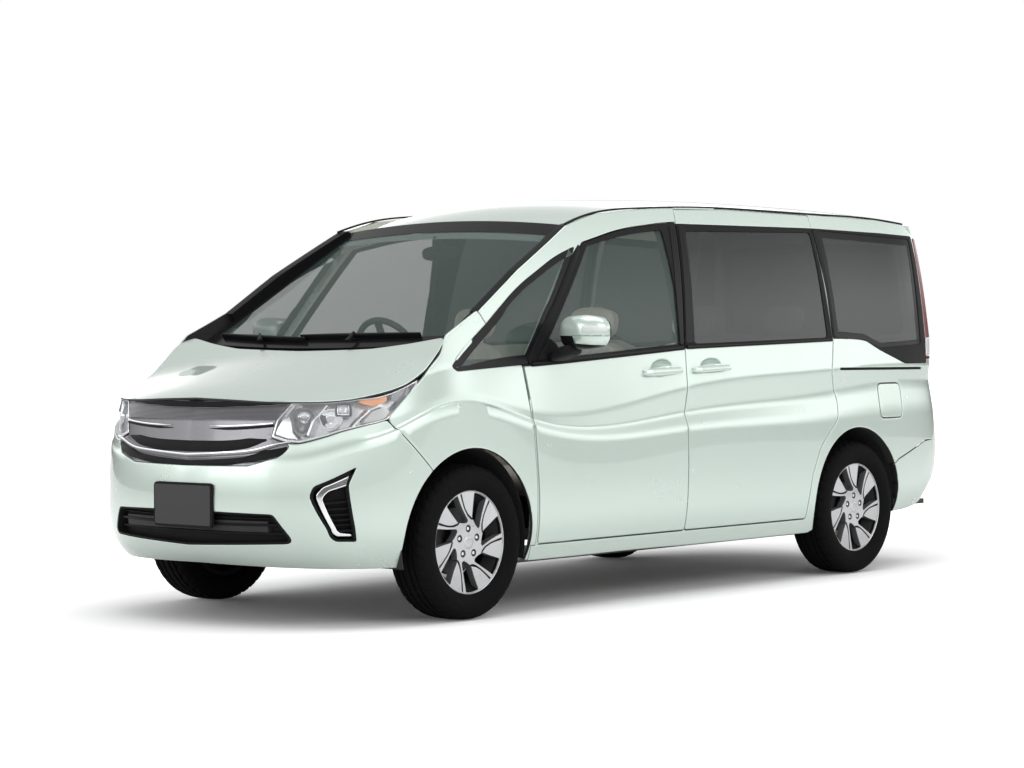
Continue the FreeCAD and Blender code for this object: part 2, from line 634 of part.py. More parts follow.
for label, shape in {
    "front_door_left": front_door, "front_door_right": mirrored(front_door),
    "door_glass_left": front_glass, "door_glass_right": mirrored(front_glass),
    "sliding_door_left": sliding_door, "sliding_door_right": mirrored(sliding_door),
    "side_frame_left": side_frame_left, "side_frame_right": mirrored(side_frame),
    "fender_left": fender, "fender_right": mirrored(fender),
    "roof": roof, "bonnet": whole(bonnet_half), "windscreen": windscreen, "cowl": cowl,
    "fuel_flap": flap,
    "tailgate": tailgate, "tailgate_glass": tailgate_glass,
    "front_quarter_glass": both(quarter_glass),
    "privacy_glass": both(Part.makeCompound([slide_glass, rear_glass])),
    "headlamps": both(headlamp), "tail_lamps": both(tail_lamp), "fog_panels": both(fog_panel),
    "front_bumper": front_bumper, "rear_bumper": rear_bumper, "grille": grille,
}.items():
    feature(label, shape)


# Underbody: floor pan, wheel houses and the frame in front with the toe board
floor_top = size("floor_height") + size("floor_thickness")
floor_pan = box(-2240, 1240, -688, 688, floor_top - size("floor_thickness"), floor_top)
floor_pan = floor_pan.fuse(box(-2240, -2210, -560, 560, 300, 590))
beam_rear = box(-2400, -2200, -20, 400, 420, 470).common(plate(sheet_wall + seat, None))
for side_piece in (beam_rear, box(-1000, -960, 550, 610, 290 + seat, 305)):
    floor_pan = floor_pan.fuse(side_piece).fuse(mirrored(side_piece))
floor_pan = floor_pan.fuse(box(-2190, -1740, -430, 430, floor_top - 1, floor_top + 8))

toe_board = prism([(1180, floor_top), (1350, 560), (1350, 1030), (1320, 1030), (1320, 575), (1150, floor_top)],
                  "xz", -430, 430)
front_frame = toe_board.fuse(box(2160, 2190, -560, 560, 330, 440)).fuse(box(2120, 2140, -430, 430, 330, 780))
front_frame = front_frame.fuse(box(2120, 2190, -430, 430, 400, 440))
beam_front = box(2150, 2400, -20, 420, 396, 440).common(plate(20 + seat, None))
long_beam = box(1240 + seat, 2200, 340, 420, 330, 420)
for side_piece in (beam_front, box(2150, 2190, 500, 540, 420, 752 - seat), long_beam,
                   box(1180, 1260, 340, 420, floor_top + seat, 420)):
    front_frame = front_frame.fuse(side_piece).fuse(mirrored(side_piece))
front_frame = front_frame.cut(floor_pan)

houses = {}
for end, axle_x, axle_up, radius, inner, lowest in (
        ("front", front_axle + 10, 9, size("arch_radius") + 2, 436.0, 236),
        ("rear", rear_axle_x + 10, 19, size("rear_arch_radius") + 6, 520.0, 292)):
    outer = disc_y(radius + 4, axle_x, axle_z + axle_up, inner - 4, 792)
    hollow = disc_y(radius, axle_x, axle_z + axle_up, inner, 792)
    house = outer.cut(hollow).cut(box(axle_x - 600, axle_x + 600, -900, 900, -200, lowest))
    for piece in (side_frame, fender, cowl, front_bumper, grille, rear_bumper):
        house = house.cut(piece)
    house = max(house.Solids, key=lambda solid: solid.Volume)
    houses[end + "_left"], houses[end + "_right"] = house, mirrored(house)
    for room in (outer, mirrored(outer)):
        floor_pan, front_frame = floor_pan.cut(room), front_frame.cut(room)
for piece in (side_frame, mirrored(side_frame), fender, mirrored(fender), cowl, front_bumper, grille,
              rear_bumper):
    floor_pan, front_frame = floor_pan.cut(piece), front_frame.cut(piece)
for label, shape in {"floor_pan": floor_pan, "front_frame": front_frame}.items():
    shape = max(shape.Solids, key=lambda solid: solid.Volume)
    feature(label, shape)
for corner, house in houses.items():
    feature("wheel_house_" + corner, house)

# Engine, tank and exhaust
engine = block("EngineBlock", "Sizes.engine_length", "Sizes.engine_width", "Sizes.engine_height",
               "Sizes.engine_x", "-Sizes.engine_width / 2", "Sizes.engine_bottom + Sizes.seat_gap")
keep(engine, "engine")
tank = block("Tank", "Sizes.tank_length", "Sizes.tank_width", "Sizes.tank_height",
             "Sizes.tank_x", "-Sizes.tank_width / 2", "Sizes.floor_height - Sizes.tank_height - Sizes.seat_gap")
keep(tank, "fuel_tank")
front_pipe = rod("FrontPipe", "Sizes.pipe_radius", "2820", "-1750", "480", "205", "x")
muffler = rod("Muffler", "Sizes.muffler_radius", "Sizes.muffler_length", "-2200", "380", "209.7", "x")
tail_pipe = rod("TailPipe", "Sizes.pipe_radius", "120", "-2270", "380", "209", "x")
exhaust = joined("ExhaustLine", [front_pipe, muffler, tail_pipe])


# Wheels
wheel_places = {
    "front_left": (front_axle, 1), "front_right": (front_axle, -1),
    "rear_left": (rear_axle_x, 1), "rear_right": (rear_axle_x, -1),
}
rim_half = size("rim_width") / 2
tyre_half = size("tyre_width") / 2
rim_radius = size("rim_radius")
bead = size("bead_radius")
hub_radius = size("hub_radius")
tyre_radius = size("tyre_radius")


def revolved(profile):
    # A ring about the Y axis from a profile of radius and width, centred on the wheel.
    points = [Vec(radius, y, 0) for radius, y in profile]
    face = Part.Face(Part.makePolygon(points + points[:1]))
    return face.revolve(Vec(), Vec(0, 1, 0), 360)


# Openings beside each spoke, as radius and angle: the pocket ahead of it and the slit next to its ridge
POCKET = [(188, 31), (188, 47.5), (94, 58.5), (88, 51), (108, 41)]
SLIT = [(185, 2.6), (185, 4.6), (106, 24), (93, 17.5)]
first_spoke = -18


def wheel_shape():
    wall_of_rim = size("rim_wall")
    barrel = revolved([
        (rim_radius, rim_half), (rim_radius, rim_half - 8), (bead + 1, rim_half - 12), (bead - 2, rim_half - 34),
        (176, 20), (176, -40), (bead - 2, -rim_half + 30), (bead + 1, -rim_half + 12), (rim_radius, -rim_half + 8),
        (rim_radius, -rim_half), (bead - wall_of_rim, -rim_half + 4), (168, -44), (168, 22),
        (bead - wall_of_rim - 2, rim_half - 30), (bead, rim_half),
    ])
    dish = revolved([(hub_radius + size("running_gap"), 36), (84, 40), (203, 69), (201, 52), (84, 14),
                     (hub_radius + size("running_gap"), 14)])
    windows = []
    for spoke in range(int(size("spoke_count"))):
        turn = first_spoke + spoke * 360 / size("spoke_count")
        for outline in (POCKET, SLIT):
            corners = [Vec(-r * math.sin(math.radians(turn + a)), 0, r * math.cos(math.radians(turn + a)))
                       for r, a in outline]
            windows.append(Part.Face(Part.makePolygon(corners + corners[:1])).extrude(Vec(0, 100, 0)))
    dish = dish.cut(Part.makeCompound(windows))
    cap = Part.makeCylinder(30, 10, Vec(0, 36.5, 0), Vec(0, 1, 0))
    cap = cap.fuse(Part.makeCylinder(52, 8, Vec(0, 36, 0), Vec(0, 1, 0)))
    lugs = []
    for index in range(int(size("lug_count"))):
        angle = math.radians(90 + index * 360 / size("lug_count"))
        at = Vec(size("lug_circle") * math.cos(angle), 36, -size("lug_circle") * math.sin(angle))
        lugs.append(Part.makeCylinder(size("lug_radius"), size("lug_length"), at, Vec(0, 1, 0)))
    return barrel.multiFuse([dish, cap] + lugs)


def tyre_shape():
    inner = bead + 1 + seat
    outline = [(inner, rim_half - 12 - 2 * seat), (rim_radius + 1, rim_half - 8.5), (rim_radius + 14, tyre_half - 12),
               (tyre_radius - 62, tyre_half),
               (tyre_radius - 28, tyre_half - 5), (tyre_radius - 6, tyre_half - 20), (tyre_radius, tyre_half - 36)]
    hollow = [(tyre_radius - 16, tyre_half - 42), (tyre_radius - 62, tyre_half - 14),
              (rim_radius + 10, tyre_half - 26), (inner, tyre_half - 44)]
    profile = outline + [(r, -y) for r, y in outline[::-1]]
    profile += [(r, -y) for r, y in hollow[::-1]] + hollow
    return revolved(profile)


rim_shape = wheel_shape()
rubber = tyre_shape()
for corner, (axle_x, side) in wheel_places.items():
    turn = FreeCAD.Rotation() if side > 0 else FreeCAD.Rotation(Vec(0, 0, 1), 180)
    spot = FreeCAD.Placement(Vec(axle_x, side * size("half_track"), axle_z), turn)
    for label, shape in (("wheel_" + corner, rim_shape), ("tyre_" + corner, rubber)):
        obj = feature(label, shape)
        obj.Placement = spot

# Knuckles with hub and brake disc, which turn about the kingpin
kingpin_y = size("kingpin_y")
track = size("half_track")
knuckle = Part.makeCylinder(hub_radius, 60, Vec(front_axle, track - 30, axle_z), Vec(0, 1, 0))
knuckle = knuckle.fuse(Part.makeCylinder(70, 16, Vec(front_axle, track - 2.3, axle_z), Vec(0, 1, 0)))
knuckle = knuckle.fuse(Part.makeCylinder(size("brake_disc_radius"), size("brake_disc_thickness"),
                                         Vec(front_axle, track - 32, axle_z), Vec(0, 1, 0)))
knuckle = knuckle.fuse(Part.makeCylinder(46, 60, Vec(front_axle, track - 80, axle_z), Vec(0, 1, 0)))
knuckle = knuckle.fuse(box(front_axle - 32, front_axle + 32, kingpin_y - 30, kingpin_y + 24, 230, 461.7))
caliper = disc_y(152, front_axle, axle_z, track - 62, track - 4).cut(disc_y(96, front_axle, axle_z, 0, 900))
caliper = caliper.cut(disc_y(142, front_axle, axle_z, track - 34, track - 6))
knuckle = knuckle.fuse(caliper.common(box(front_axle + 70, front_axle + 160, 0, 900, 240, 400)))
knuckle = knuckle.fuse(box(front_axle + 30, front_axle + 110, kingpin_y - 6, kingpin_y + 24, 300, 340))
pin_radius = size("kingpin_radius")
kingpin_room = Part.makeCylinder(pin_radius + size("running_gap"), 260, Vec(front_axle, kingpin_y, 215))
knuckle = knuckle.cut(kingpin_room)
feature("knuckle_left", knuckle)
feature("knuckle_right", mirrored(knuckle))

# Front subframe with lower arms, kingpins and struts
subframe = box(1340, 1560, -380, 380, 280, 330 - seat)
for side in (1, -1):
    def mirror_y(y0, y1):
        return sorted((side * y0, side * y1))
    arm = box(front_axle - 60, front_axle + 60, *mirror_y(370, 600), 204, 229.7)
    arm = arm.fuse(box(front_axle - 25, front_axle + 25, *mirror_y(590, kingpin_y + 20), 204, 229.7))
    arm = arm.fuse(box(front_axle - 60, front_axle + 60, *mirror_y(360, 380), 204, 290))
    upper = [(front_axle - 120, 437), (front_axle - 90, 437), (front_axle - 40, 600), (front_axle + 40, 600),
             (front_axle + 90, 437), (front_axle + 120, 437), (front_axle + 25, kingpin_y + 18),
             (front_axle - 25, kingpin_y + 18)]
    upper_arm = prism([(x, side * y) for x, y in upper], "xy", 462, 476)
    pin = Part.makeCylinder(pin_radius, 266, Vec(front_axle, side * kingpin_y, 210))
    strut = Part.makeCylinder(44, 480, Vec(front_axle, side * 540, 225))
    subframe = subframe.multiFuse([arm, upper_arm, pin, strut])
for piece in (front_frame, houses["front_left"], houses["front_right"]):
    subframe = subframe.cut(piece)
feature("front_subframe", subframe)

# Rear axle: twist beam, trailing arms, stub axles and springs
beam = box(rear_axle_x + 210, rear_axle_x + 290, -560, 560, 240, 290)
for side in (1, -1):
    def mirror_y(y0, y1):
        return sorted((side * y0, side * y1))
    beam = beam.fuse(box(rear_axle_x - 50, rear_axle_x + 450, *mirror_y(560, 600), 240, 290))
    beam = beam.fuse(box(rear_axle_x - 50, rear_axle_x + 50, *mirror_y(560, 600), 240, 370))
    stub_low = min(side * (track + 30), side * 560)
    stub = Part.makeCylinder(hub_radius, 202.5, Vec(rear_axle_x, stub_low, axle_z), Vec(0, 1, 0))
    drum_low = track - 50 if side > 0 else -track - 10
    drum = Part.makeCylinder(120, 60, Vec(rear_axle_x, drum_low, axle_z),
                             Vec(0, 1, 0))
    beam = beam.multiFuse([stub, drum])
feature("rear_axle", beam)

# Inside: dashboard, steering wheel and seats
dash = prism([(1316, 700), (1316, 1034), (1436, 1034), (1420, 1060), (1100, 1085), (900, 1065), (820, 980),
              (860, 800), (1000, 700)], "xz", -689.7, 689.7)
tilt = math.radians(size("steering_tilt"))
steer_at = Vec(size("steering_x"), size("steering_y"), size("steering_z"))
steer_axis = Vec(-math.cos(tilt), 0, math.sin(tilt))
column = Part.makeCylinder(20, 330, steer_at - steer_axis * 380, steer_axis)
column = column.fuse(Part.makeCylinder(10, 380, steer_at - steer_axis * 380, steer_axis))
dash = dash.cut(Part.makeCylinder(22, 330, steer_at - steer_axis * 380, steer_axis)).fuse(column)
dash = dash.cut(side_frame).cut(mirrored(side_frame))
feature("dashboard", dash)
ring = Part.makeTorus(size("steering_wheel_radius"), size("steering_rim_radius"), steer_at, steer_axis)
hub = Part.makeCylinder(60, 40, steer_at - steer_axis * 45, steer_axis)
across = Vec(0, 1, 0)
for angle in (0, 180, 270):
    spoke = Part.makeBox(150, 34, 14, Vec(40, -17, -14))
    spoke.rotate(Vec(), Vec(0, 0, 1), angle)
    spoke.Placement = FreeCAD.Placement(
        steer_at, FreeCAD.Rotation(Vec(0, 0, 1), steer_axis)).multiply(spoke.Placement)
    hub = hub.fuse(spoke)
steering = ring.fuse(hub)
shaft_room = Part.makeCylinder(10 + size("running_gap"), 60, steer_at - steer_axis * 60, steer_axis)
steering = steering.cut(shaft_room)
feature("steering_wheel", steering)


def seat_shape(x, y, width, base_z):
    # A plain seat that stands on the floor: plinth, cushion, backrest and head restraint.
    half = width / 2
    low = base_z
    cushion = box(x, x + size("cushion_length"), y - half, y + half, low, low + size("cushion_height"))
    plinth = box(x + 60, x + 420, y - half + 60, y + half - 60, floor_top + seat, low)
    lean = [(x - 20, low + 40), (x + 90, low + 40), (x - 60, low + size("backrest_height") + 100),
            (x - 60 - size("backrest_thickness"), low + size("backrest_height") + 100)]
    back = prism(lean, "xz", y - half + 10, y + half - 10)
    top = low + size("backrest_height") + 90
    head = box(x - 180, x - 80, y - 130, y + 130, top + 10, top + 180)
    posts = box(x - 140, x - 120, y - 60, y + 60, top - 20, top + 40)
    return cushion.multiFuse([plinth, back, head, posts]).removeSplitter()


spread_y = size("seat_spread")
front_seats = Part.makeCompound(
    [seat_shape(size("front_seat_x"), side * spread_y, 500, 440) for side in (1, -1)])
second = seat_shape(size("second_seat_x"), 0, 1180, 440)
third = seat_shape(size("third_seat_x"), 0, 980, 460)
feature("front_seats", front_seats)
feature("rear_seats", Part.makeCompound([second, third]))

# Door mirrors
mirror_body = box(812, 925, 870, 1040, 1120, 1272)
mirror_body = mirror_body.makeFillet(30, mirror_body.Edges)
mirror_foot = prism([(1000, 1075), (1000, 1105), (900, 1150), (850, 1150), (850, 1120), (900, 1075)],
                    "xz", 790, 900)
door_mirror = mirror_body.fuse(mirror_foot.cut(wall))
feature("door_mirror_left", door_mirror)
feature("door_mirror_right", mirrored(door_mirror))

doc.recompute()
exhaust_node = keep(exhaust, "exhaust")

os.makedirs("parts", exist_ok=True)
for node in nodes:
    if node.State and ("Invalid" in node.State or "Error" in node.State):
        raise ValueError(node.Label)
    if node.Shape.isNull() or not node.Shape.isValid():
        raise ValueError(node.Label)
    node.Shape.exportStep(f"parts/{node.Label}.step")
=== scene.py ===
import math

import bpy
import numpy as np
from mathutils import Matrix, Vector
from mathutils.geometry import delaunay_2d_cdt


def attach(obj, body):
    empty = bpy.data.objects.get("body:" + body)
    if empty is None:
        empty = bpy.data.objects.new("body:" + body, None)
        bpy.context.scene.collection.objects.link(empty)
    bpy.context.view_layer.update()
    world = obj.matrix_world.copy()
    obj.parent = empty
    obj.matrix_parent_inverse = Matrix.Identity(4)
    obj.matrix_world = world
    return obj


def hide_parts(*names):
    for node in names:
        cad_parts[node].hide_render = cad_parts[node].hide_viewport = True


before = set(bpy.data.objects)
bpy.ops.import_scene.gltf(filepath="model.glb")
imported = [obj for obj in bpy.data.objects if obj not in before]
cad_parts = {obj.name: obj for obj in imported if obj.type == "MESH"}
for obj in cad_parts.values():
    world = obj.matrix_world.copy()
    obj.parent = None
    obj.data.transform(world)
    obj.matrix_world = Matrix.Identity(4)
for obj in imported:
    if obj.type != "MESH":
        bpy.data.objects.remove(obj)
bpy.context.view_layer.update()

print("frame loaded")

# Lengths here are metres, in the frame of the CAD: X forward, Y to the car's left, Z up
body = {
    "halfWidth": 0.8475,
    "noseX": 2.345,
    "frontAxle": 1.48,
    "rearAxle": -1.41,
    "axleHeight": 0.326,
    "wheelY": 0.7325,     # middle of the wheels
    "sill": 0.222,
    "belt": 1.13,
    "wall": 0.05,        # thickness of doors and side walls
    "sheet": 0.004,
    "shutGap": 0.006,
    "roll": 0.0035,       # radius of a panel's folded edge
}

# The skin: stations round the body, then rows with a height and an inset at the key stations
nose, tail = body["noseX"], -body["noseX"]
planLine = [
    (nose, 0.0), (nose - 0.012, 0.295), (nose - 0.055, 0.531), (nose - 0.13, 0.708),
    (nose - 0.235, 0.844), (nose - 0.385, 0.938), (1.74, 0.985), (1.48, 0.997),
    (1.08, 0.999), (0.0, 1.0), (-1.1, 1.0), (tail + 0.585, 0.991), (tail + 0.285, 0.975),
    (tail + 0.16, 0.936), (tail + 0.073, 0.852), (tail + 0.027, 0.661), (tail + 0.007, 0.354), (tail, 0.0), ]
keyStations = [0, 3, 5, 6, 7, 8, 9, 10, 11, 13, 17]
skinRows = [  # lifts and insets in millimetres, and the height that the lifts start from
    ([30, 24, 21, 16, 8, 2, 0, 0, 63, 143, 128], [95, 90, 70, 50, 45, 42, 42, 42, 45, 60, 70], "sill"),
    ([78, 78, 80, 86, 90, 91, 91, 91, 128, 203, 193], [28, 28, 22, 15, 12, 12, 12, 12, 14, 22, 25], "sill"),
    ([178, 180, 186, 193, 198, 198, 198, 198, 218, 268, 268], [3, 2, 0, -1, -2, -2, -2, -2, 0, 3, 3], "sill"),
    ([308, 323, 348, 378, 388, 378, 378, 378, 388, 408, 408], [-3] * 11, "sill"),
    ([433, 478, 563, 650, 681, 578, 543, 553, 578, 578, 568], [14, 14, 8, 2, 0, 4, 4, 4, 6, 15, 18], "sill"),
    ([458, 503, 580, 664, 694, 604, 607, 671, 718, 708, 698], [20, 22, 16, 10, 10, 14, 29, 29, 26, 36, 40],
     "sill"),
    ([628, 628, 630, 693, 723, 640, 716, 783, 810, 808, 808], [45, 38, 20, 12, 14, 16, 17, 17, 22, 34, 42],
     "sill"),
    ([-202, -198, -180, -95, -68, -68, 0, 27, 30, 30, 30], [75, 62, 40, 16, 38, 45, 45, 45, 48, 35, 50],
     "belt"),
    ([170] * 11, [160, 140, 110, 80, 75, 70, 70, 70, 70, 52, 62], "belt"),
    ([420] * 11, [240, 220, 190, 150, 120, 100, 98, 98, 98, 75, 88], "belt"),
    ([670] * 11, [330, 320, 290, 250, 215, 195, 193, 193, 193, 150, 150], "belt"), ]
rowHeights = [0.222, 0.313, 0.42, 0.6, 0.765, 0.829, 0.938, 1.13, 1.3, 1.55, 1.8]


def splineSlopes(at, values):
    # slopes of the smooth cubic through the values, whose ends follow the first and last three
    steps = np.diff(at)
    count = len(at)
    rules = np.zeros((count, count))
    sides = np.zeros_like(values)
    for k in range(1, count - 1):
        rules[k, k - 1:k + 2] = 1 / steps[k - 1], 2 / steps[k - 1] + 2 / steps[k], 1 / steps[k]
        sides[k] = 3 * ((values[k] - values[k - 1]) / steps[k - 1] ** 2
                        + (values[k + 1] - values[k]) / steps[k] ** 2)
    for end, (a, b, c) in ((0, (0, 1, 2)), (count - 1, (-1, -2, -3))):
        rules[end, end] = 1
        near, far = at[b] - at[a], at[c] - at[a]
        sides[end] = (values[b] - values[a]) * far / near - (values[c] - values[a]) * near / far
        sides[end] /= far - near
    return np.linalg.solve(rules, sides)


def splineAt(at, values, slopes, where):
    where = np.clip(where, at[0], at[-1])
    k = np.clip(np.searchsorted(at, where, side="right") - 1, 0, len(at) - 2)
    step = (at[k + 1] - at[k])[:, None]
    t = ((where - at[k]) / (at[k + 1] - at[k]))[:, None]
    return ((1 + 2 * t) * (1 - t) ** 2 * values[k] + t * (1 - t) ** 2 * step * slopes[k]
            + t * t * (3 - 2 * t) * values[k + 1] + t * t * (t - 1) * step * slopes[k + 1])


def line(points):
    # a smooth line through (at, value, value...) points, as a function of at
    table = np.array(sorted(points), float)
    slopes = splineSlopes(table[:, 0], table[:, 1:])
    return lambda where: splineAt(table[:, 0], table[:, 1:], slopes, np.asarray(where, float))


def runOf(points):
    # the length along a line at each of its points
    return np.concatenate([[0], np.cumsum(np.hypot(*np.diff(points, axis=0).T))])


def makeSkin():
    plan = np.array(planLine)
    plan[:, 1] *= body["halfWidth"]
    normals = [(1.0, 0.0)]
    for before, after in zip(plan, plan[2:]):
        along = after - before
        normals.append(np.array([along[1], -along[0]]) / np.hypot(*along))
    normals.append((-1.0, 0.0))
    normals = np.array(normals)
    run = runOf(plan)
    at = run / run[-1]
    rows = []
    for lifts, insets, base in skinRows:
        lift = np.interp(range(len(plan)), keyStations, lifts) / 1000
        inset = np.interp(range(len(plan)), keyStations, insets) / 1000
        rows.append(np.column_stack([plan - normals * inset[:, None], body[base] + lift]))
    table = np.concatenate(rows + [np.column_stack([normals, np.zeros(len(plan))])], axis=1)
    return run[-1], at, table, splineSlopes(at, table)


planLength, skinAt, skinTable, skinSlopes = makeSkin()


def rowWeights(v):
    weights = np.zeros((len(v), 11))
    v = np.clip(v, 0, 10)
    low = v <= 4
    w = v[low] / 4
    knots = np.array([0, 0, 0, 0, 0.5, 1, 1, 1, 1.0])
    basis = np.array([((knots[i] <= w) & (w < knots[i + 1])) | ((w == 1) & (i == 4)) for i in range(8)],
                     float)
    for degree in (1, 2, 3):
        grown = []
        for i in range(8 - degree):
            left, right = knots[i + degree] - knots[i], knots[i + degree + 1] - knots[i + 1]
            value = (w - knots[i]) / left * basis[i] if left else 0 * w
            grown.append(value + ((knots[i + degree + 1] - w) / right * basis[i + 1] if right else 0))
        basis = np.array(grown)
    weights[low, :5] = basis.T
    middle = (v > 4) & (v < 7)
    k = np.floor(v[middle]).astype(int)
    spot = np.flatnonzero(middle)
    weights[spot, k] = 1 - (v[middle] - k)
    weights[spot, k + 1] = v[middle] - k
    high = v >= 7
    t = (v[high] - 7) / 3
    weights[high, 7:] = np.column_stack([(1 - t) ** 3, 3 * t * (1 - t) ** 2, 3 * t * t * (1 - t), t ** 3])
    return weights


def skinPoint(u, v, depth=0.0):
    values = splineAt(skinAt, skinTable, skinSlopes, np.asarray(u, float))
    rows = values[:, :33].reshape(-1, 11, 3)
    point = (rowWeights(np.asarray(v, float))[:, :, None] * rows).sum(1)
    return point - values[:, 33:] * np.broadcast_to(np.asarray(depth, float), len(point))[:, None]


def onSkin(points, depth=0.0):
    # from the flat map of the skin, run along the plan and row height, to the place in space;
    # a run below nothing or past the tail's middle is on the right-hand side
    points = np.asarray(points, float)
    run = points[:, 0]
    folded = planLength - np.abs(np.abs(run) - planLength)
    place = skinPoint(folded / planLength, np.interp(points[:, 1], rowHeights, range(11)), depth)
    place[:, 1] *= np.where((run < 0) | (run > planLength), -1, 1)
    return place


def endMap(points, view):
    # a whole front or rear view, y z with both signs of y, to the flat map
    points = np.asarray(points, float)
    flat = skinMap(np.column_stack([np.abs(points[:, 0]), points[:, 1]]), view)
    right = points[:, 0] < 0
    flat[right, 0] = -flat[right, 0] if view == "front" else 2 * planLength - flat[right, 0]
    return flat


def wholeLine(points):
    # a line of the left half, from middle to middle, closed by its mirror image
    points = [tuple(p) for p in points]
    return points + [(-y, z) for y, z in points[::-1] if y > 0]


def skinMap(points, view="side"):
    # from what is seen square on, x z of the side or y z of an end, to the flat map of the skin
    seen = np.asarray(points, float)
    count = 401
    column, first, last = {"side": (0, 0, count), "front": (1, 0, 130), "rear": (1, 290, count)}[view]
    us = np.linspace(0, 1, count)
    pick = skinPoint(us, np.full(count, 3.0))[first:last, column]
    us = us[first:last]
    order = np.argsort(pick)
    u = np.interp(seen[:, 0], pick[order], us[order])
    v = np.interp(seen[:, 1], rowHeights, range(11))
    tiny, mostU, mostV = 1e-5, 0.03, 0.8

    def at(u, v):
        return skinPoint(u, v)[:, [column, 2]]

    for _ in range(14):
        du = (at(u + tiny, v) - at(u - tiny, v)) / (2 * tiny)
        dv = (at(u, v + tiny) - at(u, v - tiny)) / (2 * tiny)
        off = seen - at(u, v)
        turn = du[:, 0] * dv[:, 1] - du[:, 1] * dv[:, 0]
        turn = np.where(np.abs(turn) < 1e-9, 1e-9, turn)
        stepU = (off[:, 0] * dv[:, 1] - off[:, 1] * dv[:, 0]) / turn
        stepV = (du[:, 0] * off[:, 1] - du[:, 1] * off[:, 0]) / turn
        u = np.clip(u + np.clip(stepU, -mostU, mostU), us[0], us[-1])
        v = np.clip(v + np.clip(stepV, -mostV, mostV), 0, 10)
    return np.column_stack([u * planLength, np.interp(v, range(11), rowHeights)])


print("skin ready, plan length", round(planLength, 3))

# Panels: closed lines drawn on a flat map, filled with an even net and given thickness


def inside(points, loop):
    x, y = points[:, :1], points[:, 1:]
    x0, y0 = loop[:, 0], loop[:, 1]
    x1, y1 = np.roll(x0, -1), np.roll(y0, -1)
    rise = np.where(y1 == y0, 1e-12, y1 - y0)
    crossed = ((y0 > y) != (y1 > y)) & (x < (x1 - x0) * (y - y0) / rise + x0)
    return crossed.sum(1) % 2 == 1


def insideOdd(points, loops):
    # whether each point lies inside an odd number of the closed lines
    chosen = np.zeros(len(points), bool)
    for loop in loops:
        chosen ^= inside(points, loop)
    return chosen


def unit(vectors):
    return vectors / np.maximum(np.hypot(*vectors.T), 1e-9)[:, None]


def leftOf(vectors):
    return np.column_stack([-vectors[:, 1], vectors[:, 0]])


def nearest(points, loop):
    # distance of each point to a closed line
    ahead = np.roll(loop, -1, 0) - loop
    length = np.maximum((ahead ** 2).sum(1), 1e-12)
    found = []
    for part in np.array_split(points, max(1, len(points) // 800)):
        away = part[:, None, :] - loop[None]
        t = np.clip((away * ahead).sum(2) / length, 0, 1)
        found.append(np.sqrt((((away - t[:, :, None] * ahead) ** 2).sum(2)).min(1)))
    return np.concatenate(found)


def triangles(points, loops, wanted):
    # Delaunay triangles that keep the loops' edges and whose middles are wanted
    edges, start = [], 0
    for loop in loops:
        edges += [(start + k, start + (k + 1) % len(loop)) for k in range(len(loop))]
        start += len(loop)
    corners = np.concatenate(list(loops) + ([points] if len(points) else []))
    flat, _, faces, source, _, _ = delaunay_2d_cdt([Vector(p) for p in corners], edges, [], 0, 1e-7)
    flat = np.array([tuple(p) for p in flat])
    faces = np.array(faces)
    middles = flat[faces].mean(1)
    return flat, faces[wanted(middles)], source


def chains(flat, faces):
    # the closed lines round a set of triangles, with the triangles on their left
    sides = {(int(f[k]), int(f[(k + 1) % 3])) for f in faces for k in range(3)}
    ahead = {}
    for a, b in sides:
        if (b, a) not in sides:
            ahead.setdefault(a, []).append(b)
    loops = []
    while ahead:
        start = next(iter(ahead))
        loop, here = [start], ahead[start].pop()
        if not ahead[start]:
            del ahead[start]
        while here != start and here in ahead:
            choices, came = ahead[here], flat[loop[-1]] - flat[here]
            turns = [(math.atan2(*came[::-1]) - math.atan2(*(flat[c] - flat[here])[::-1])) % (2 * math.pi)
                     for c in choices]
            loop.append(here)
            then = choices.pop(int(np.argmin(turns)))
            if not choices:
                del ahead[here]
            here = then
        if len(loop) > 2:
            loops.append(flat[loop])
    return loops


def breadth(loop):
    # area over half the way round: small for a sliver
    ahead = np.roll(loop, -1, 0)
    area = abs((loop[:, 0] * ahead[:, 1] - ahead[:, 0] * loop[:, 1]).sum()) / 2
    return 2 * area / max(np.hypot(*(ahead - loop).T).sum(), 1e-9)


def evenLoop(loop, step, corner=28):
    # the same closed line in even steps between its corners
    loop = np.asarray(loop, float)
    ahead = np.roll(loop, -1, 0) - loop
    loop = loop[np.hypot(*ahead.T) > 1e-6]
    ahead = np.roll(loop, -1, 0) - loop
    heading = np.arctan2(ahead[:, 1], ahead[:, 0])
    turn = np.degrees(np.abs((heading - np.roll(heading, 1) + np.pi) % (2 * np.pi) - np.pi))
    corners = list(np.flatnonzero(turn > corner)) or [0]
    result = []
    for a, b in zip(corners, corners[1:] + [corners[0] + len(loop)]):
        piece = loop[np.arange(a, b + 1) % len(loop)]
        run = runOf(piece)
        if run[-1] < 1e-4:
            continue
        where = np.linspace(0, run[-1], max(1, round(run[-1] / step)) + 1)[:-1]
        result.append(np.column_stack([np.interp(where, run, piece[:, k]) for k in (0, 1)]))
    return np.concatenate(result)


def region(keep, cut=(), step=0.012):
    # closed lines round what lies inside every keep line and outside every cut line
    keep, cut = [np.asarray(loop, float) for loop in keep], [np.asarray(loop, float) for loop in cut]

    def wanted(middles):
        chosen = np.ones(len(middles), bool)
        for loop in keep:
            chosen &= inside(middles, loop)
        for loop in cut:
            chosen &= ~inside(middles, loop)
        return chosen
    flat, faces, _ = triangles(np.zeros((0, 2)), keep + cut, wanted)
    return [evenLoop(loop, step) for loop in chains(flat, faces) if breadth(loop) > 0.0012]


